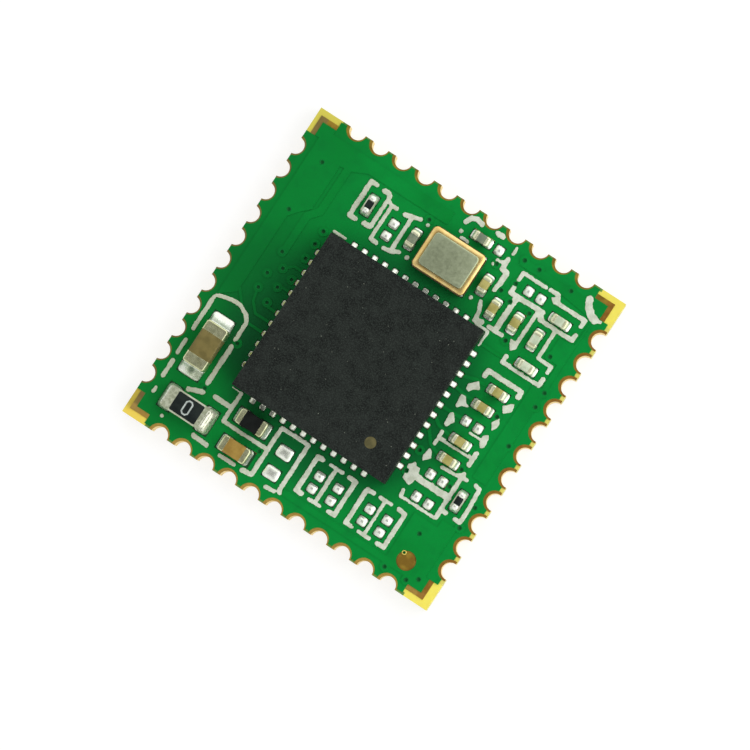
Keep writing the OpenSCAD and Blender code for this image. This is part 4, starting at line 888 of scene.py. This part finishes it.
def make_part_solder():
    """Solder at the metal ends of all placed parts, and the films under the crystal."""
    rng = np.random.default_rng(41)
    shape = Shape()
    for node in END_NODES:
        for low, high, away in ends_of(node):
            land_low, land_high = land_under(low, high)
            floor = np.array([land_low[0], land_low[1], land_high[2]])
            body = high[2] - land_high[2]
            if node in LUMPED:
                reach = np.array([land_low, land_high])
                axis = int(np.argmax(np.abs(away)))
                inner = 0 if away[axis] > 0 else 1
                bare = JUMPER_BARE if node == "jumper_ends" and away[0] > 0 else -LUMP_BACK
                cover = (low, high)[inner][axis] + away[axis] * bare
                if bare < 0:
                    cover = (min, max)[inner](reach[inner][axis], cover)
                reach[inner][axis] = cover
                floor = np.array([reach[0][0], reach[0][1], land_high[2]])
                over = LUMP_OVER_WEST if node == "jumper_ends" and bare < 0 else LUMP_OVER
                lump_shape(shape, floor, reach[1], body + over, LUMP_CORNERS[0 if body > TALL_LUMP else 1],
                           away, rng)
                continue
            share = rng.uniform(0.27, 0.34) if body < TALL_SKIRT else rng.uniform(0.36, 0.42)
            dimple = BULK_DIMPLE if node == "bulk_capacitor_ends" and away[1] < 0 else 0.0
            corner = SKIRT_CORNERS[1 if body < TALL_SKIRT else 0]
            if node == "bypass_capacitor_ends":
                corner = BYPASS_CORNER
                floor[:2] = np.maximum(floor[:2], BYPASS_REACH[0][:2])
                land_high = np.array([*np.minimum(land_high[:2], BYPASS_REACH[1][:2]), land_high[2]])
            skirt_shape(shape, low, high, floor, land_high, body * share, away, corner, dimple)
    cr_low, cr_high = box_mm("crystal_base")
    for low, high in LANDS:
        centre = (low + high) / 2
        if (cr_low[:2] - 0.1 < centre[:2]).all() and (cr_high[:2] + 0.1 > centre[:2]).all():
            shape.loft([ring_at(centre, (high - low) / 2, 0, 0.06, z) for z in (high[2], cr_low[2])])
    stood_for = ["passive_solder", *(node for node in LUMPED if node != "jumper_ends")]
    shape.made("part_solder_joints", "solder", stood_for)


make_bare_solder()
make_chip_solder()
make_part_solder()


# ---------- Chip parts ----------

def length_loft(shape, centre, axis, sections, per_corner=6, wave=None):
    """Loft along x or y: sections are (place along the part, half width, half height, corner radius)."""
    rings = []
    for k, (s, half_w, half_h, r) in enumerate(sections):
        ring = []
        for i, (w, h) in enumerate(round_ring(half_w, half_h, r, per_corner)):
            shift = wave[i] if wave is not None and k >= len(sections) - 3 else 0.0
            along = s + shift
            ring.append((centre[0] + along, centre[1] + w, centre[2] + h) if axis == 0
                        else (centre[0] - w, centre[1] + along, centre[2] + h))
        rings.append(ring)
    shape.loft(rings)


# Half length under which a part counts as small
SMALL_PART = 0.4
# Small and large parts: edge radius, corner radius in plan, and length and fall of the dome at a metal end
SMALL_FORM, LARGE_FORM = (0.055, 0.085, 0.11, 0.085), (0.045, 0.1, 0.055, 0.05)
# Thickness of the metal on the ceramic block, and how far the block stays inside its ends
PLATE_T, BLOCK_INSET = 0.005, 0.03
# The block's end: distance from the end, and offset of its sides there
BLOCK_END = ((0.0, -0.09), (0.02, -0.05), (0.06, -0.015), (0.1, 0.0))
# Sections through the dome, as shares of its length
DOME_SECTIONS = (0.12, 0.25, 0.4, 0.6, 0.8, 1.0)


def make_part(stem, material, slot):
    """Ceramic block and plated ends of a chip capacitor or inductor."""
    body, ends = stem + "_body", stem + "_ends"
    e_low, e_high = box_mm(ends)
    centre = (e_low + e_high) / 2
    size = e_high - e_low
    axis = int(np.argmax(size[:2]))
    w, h, l = size[1 - axis] / 2, size[2] / 2, size[axis] / 2
    small = l < SMALL_PART
    rng = np.random.default_rng(sum(ord(c) for c in stem))
    r, plan_r, dome, fall = SMALL_FORM if small else LARGE_FORM
    block = Shape()
    profile = [(BLOCK_INSET - l + into, d) for into, d in BLOCK_END]
    profile += [(-x, d) for x, d in profile[::-1]]
    length_loft(block, centre, axis, [(x, w - PLATE_T + d, h - PLATE_T + d, r * 0.85) for x, d in profile])
    block.made(stem + "_block", slot, [body], PAINTS[material])
    caps = Shape()
    for c_low, c_high, away in ends_of(ends):
        band = (c_high - c_low)[axis]
        sign = away[axis]
        phase = rng.uniform(0, 6, 3)
        t = np.linspace(0, 2 * math.pi, 24, endpoint=False)
        wave = 0.05 * band * (np.sin(2 * t + phase[0]) + 0.6 * np.sin(3 * t + phase[1])
                              + 0.4 * np.sin(5 * t + phase[2]))
        sections = []
        places = [l - 0.0005 * k * k for k in range(5)] + [l - max(dome, plan_r) * q for q in DOME_SECTIONS]
        for x in places:
            into = l - x
            dw = plan_r * (1 - math.sqrt(max(0.0, 1 - (1 - min(into / plan_r, 1)) ** 2)))
            dh = fall * (1 - math.sqrt(max(0.0, 1 - (1 - min(into / dome, 1)) ** 2)))
            sections.append((sign * x, w - dw, h - dh, max(r - 0.3 * dh, 0.02)))
        for x, d in ((l - band + 0.03, 0.0), (l - band + 0.003, 0.0), (l - band, -0.0005),
                     (l - band - 0.001, -PLATE_T - 0.004)):
            sections.append((sign * x, w + d, h + d, r))
        length_loft(caps, centre, axis, sections, 6, -sign * wave * 0.5)
    caps.made(stem + "_caps", "end_metal", [ends], SMALL_END if small else None)


PARTS = [("bulk_capacitor", "bulk_ceramic"), ("bypass_capacitor", "bypass_ceramic"),
         ("ferrite_inductor", "ferrite")]
PARTS += [(f"small_capacitor_{i}", "small_ceramic") for i in range(1, 10)]
PARTS += [(f"small_inductor_{i}", "pale_ceramic") for i in range(1, 4)]
# Two small capacitors are grey in the photograph
GREY = ("small_capacitor_5", "small_capacitor_9")
for stem, slot in PARTS:
    make_part(stem, "grey_ceramic" if stem in GREY else slot, slot)


# ---------- Glaze on the resistors ----------

# How much narrower the glaze is than its coat on each side, on the jumper and on the small resistors
JUMPER_TRIM, SMALL_TRIM = 0.045, 0.03
# The 0 on the jumper: shift from the CAD figure, half size, corner cut and stroke
FIGURE_SHIFT = np.array([0.012, 0.0])
FIGURE_HALF, FIGURE_CUT, FIGURE_STROKE = (0.142, 0.262), 0.085, 0.052


def make_glaze():
    """Dark glaze over the middle of each resistor, a little narrower than its ceramic plate."""
    shape = Shape()
    boxes = {node: islands(node) for node in ("jumper_coat", "small_resistor_coats")}
    for node, found in boxes.items():
        for low, high in found:
            centre, half = (low + high) / 2, (high - low)[:2] / 2
            along = 0 if node == "jumper_coat" else 1
            trim = np.zeros(2)
            trim[1 - along] = JUMPER_TRIM if node == "jumper_coat" else SMALL_TRIM
            shape.loft([ring_at(centre, half - trim, inset, 0.04, z, 6) for inset, z in (
                (0.0, low[2]), (0.0, low[2] + 0.006), (0.012, low[2] + 0.014), (0.035, high[2]))])
    shape.made("resistor_glaze", "resistor_coat", list(boxes))


def make_figure():
    """The 0 on the jumper: a narrow ring with cut corners, as it is printed."""
    low, high = box_mm("jumper_figure")
    x, y = (low + high)[:2] / 2 + FIGURE_SHIFT
    outer = round_ring(*FIGURE_HALF, FIGURE_CUT, 2)
    inner = round_ring(FIGURE_HALF[0] - FIGURE_STROKE, FIGURE_HALF[1] - FIGURE_STROKE, FIGURE_CUT * 0.6, 2)
    loops = ((outer, low[2]), (outer, high[2]), (inner, high[2]), (inner, low[2]))
    shape = Shape()
    shape.loft([[(x + px, y + py, z) for px, py in ring] for ring, z in loops], closed=True)
    shape.made("printed_zero", "figure_ink", ["jumper_figure"], smooth=False)


make_glaze()
make_figure()


# ---------- Crystal can ----------

def plate_loft(name, node, sections, slot):
    """Stack of round rectangles in a CAD node's place: inset from its sides, corner radius, share of its
    height."""
    low, high = box_mm(node)
    centre, half = (low + high) / 2, (high - low) / 2
    shape = Shape()
    shape.loft([ring_at(centre, half, inset, r, low[2] + (high[2] - low[2]) * z, 8)
                for inset, r, z in sections])
    shape.made(name, slot, [node])


COVER = ((0.03, 0.14, 0.0), (0.03, 0.14, 0.4), (0.037, 0.135, 0.72), (0.05, 0.125, 0.92), (0.07, 0.11, 1.0))
RIM = ((0.0, 0.16, 0.0), (0.0, 0.16, 0.15), (0.018, 0.155, 0.4), (0.05, 0.15, 0.6), (0.09, 0.14, 0.8),
       (0.13, 0.12, 0.96), (0.17, 0.1, 1.0))
plate_loft("crystal_cover", "crystal_lid", COVER, "lid_metal")
plate_loft("crystal_rim", "crystal_seal_ring", RIM, "seal_gold")


# ---------- Floor, light, camera ----------

# Half side of the floor and its place under the part, in metres
FLOOR_HALF, FLOOR_Z = 0.6, -0.00002
# Tone of the floor, and the glow that makes it white where it is seen
FLOOR_TONE, FLOOR_GLOW = 0.28, 0.77
# The light tent: from and to in the direction's z, and its strength before and past them
TENT_EDGE, TENT_SIDE, TENT_TOP = (0.80, 0.965), 1.12, 0.16
# Direction from which more light comes, and how much more
KEY, KEY_SHARE = Vector((0.80, 0.56, 0.0)).normalized(), 0.45
# The camera: lean towards +X and -Y and turn in degrees, picture side in pixels, pixels in a millimetre
CAMERA_LEAN, CAMERA_TURN, PICTURE_SIDE, PX_PER_MM = (5.1, 1.3), 33.28, 750, 30.40
# The point at the middle of the picture
CAMERA_TARGET = Vector((0.3634, -0.447, 0.79)) * MM


def make_floor():
    """Pale floor that looks white to the camera and in reflections, and keeps the part's shadow."""
    mesh = bpy.data.meshes.new("floor")
    s = FLOOR_HALF
    mesh.from_pydata([(-s, -s, 0), (s, -s, 0), (s, s, 0), (-s, s, 0)], [], [(0, 1, 2, 3)])
    floor = bpy.data.objects.new("floor", mesh)
    bpy.context.scene.collection.objects.link(floor)
    floor.location.z = FLOOR_Z
    mat = bpy.data.materials.new("floor_paper")
    mat.use_nodes = True
    nt = mat.node_tree
    nt.nodes.clear()
    diffuse = add_node(nt, "BsdfDiffuse", {"Color": (FLOOR_TONE, FLOOR_TONE, FLOOR_TONE, 1)})
    path = add_node(nt, "LightPath").outputs
    seen = math_node(nt, "MAXIMUM", path["Is Camera Ray"], path["Is Glossy Ray"])
    seen = math_node(nt, "MAXIMUM", seen, path["Is Transmission Ray"])
    strength = math_node(nt, "MULTIPLY", seen, FLOOR_GLOW)
    glow = add_node(nt, "Emission", {"Color": (1, 1, 1, 1), "Strength": strength})
    both = add_node(nt, "AddShader", {0: diffuse.outputs[0], 1: glow.outputs[0]})
    add_node(nt, "OutputMaterial", {"Surface": both.outputs[0]})
    mesh.materials.append(mat)


def make_world():
    """Light tent that is dark overhead and brighter on one side."""
    world = bpy.data.worlds.new("tent")
    bpy.context.scene.world = world
    world.use_nodes = True
    nt = world.node_tree
    back = nt.nodes["Background"]
    back.inputs["Color"].default_value = (1, 1, 1, 1)
    place = add_node(nt, "TexCoord").outputs["Generated"]
    height = add_node(nt, "SeparateXYZ", {0: place}).outputs["Z"]
    reach = {"Value": height, "From Min": TENT_EDGE[0], "From Max": TENT_EDGE[1],
             "To Min": TENT_SIDE, "To Max": TENT_TOP}
    ramp = add_node(nt, "MapRange", reach, interpolation_type="SMOOTHSTEP")
    towards = add_node(nt, "VectorMath", {0: place, 1: KEY}, operation="DOT_PRODUCT").outputs["Value"]
    lean = math_node(nt, "MULTIPLY_ADD", towards, KEY_SHARE, 1.0)
    nt.links.new(math_node(nt, "MULTIPLY", ramp.outputs[0], lean), back.inputs["Strength"])


def make_lamp(name, direction, distance, size, power):
    """Round soft lamp that points at the part, with its distance and size in metres and power in watts."""
    light = bpy.data.lights.new(name, "AREA")
    light.shape = "DISK"
    light.size = size
    light.energy = power
    lamp = bpy.data.objects.new(name, light)
    bpy.context.scene.collection.objects.link(lamp)
    at = Vector(direction).normalized() * distance
    lamp.location = at
    lamp.rotation_mode = "QUATERNION"
    lamp.rotation_quaternion = at.to_track_quat("Z", "Y")


def make_camera():
    """The camera of the photograph: nearly straight above, on a long lens."""
    cam_data = bpy.data.cameras.new("camera")
    cam_data.sensor_width = 36
    cam_data.lens = 200
    cam = bpy.data.objects.new("camera", cam_data)
    bpy.context.scene.collection.objects.link(cam)
    lean_x, lean_y = (math.radians(a) for a in CAMERA_LEAN)
    back = Vector((math.sin(lean_x), -math.sin(lean_y), 1.0))
    back.z = math.sqrt(1 - back.x ** 2 - back.y ** 2)
    turn = math.radians(CAMERA_TURN)
    up = Vector((-math.sin(turn), math.cos(turn), 0))
    up = (up - up.dot(back) * back).normalized()
    right = up.cross(back)
    distance = PICTURE_SIDE / PX_PER_MM * MM * cam_data.lens / cam_data.sensor_width
    rot = Matrix((right, up, back)).transposed()
    cam.matrix_world = Matrix.Translation(CAMERA_TARGET + back * distance) @ rot.to_4x4()
    cam_data.clip_start = 0.01
    cam_data.clip_end = 10
    bpy.context.scene.camera = cam


make_floor()
make_world()
make_lamp("key_lamp", (0.6, 0.4, 0.72), 0.25, 0.16, 0.10)
make_camera()
bpy.context.scene.view_settings.view_transform = "Standard"
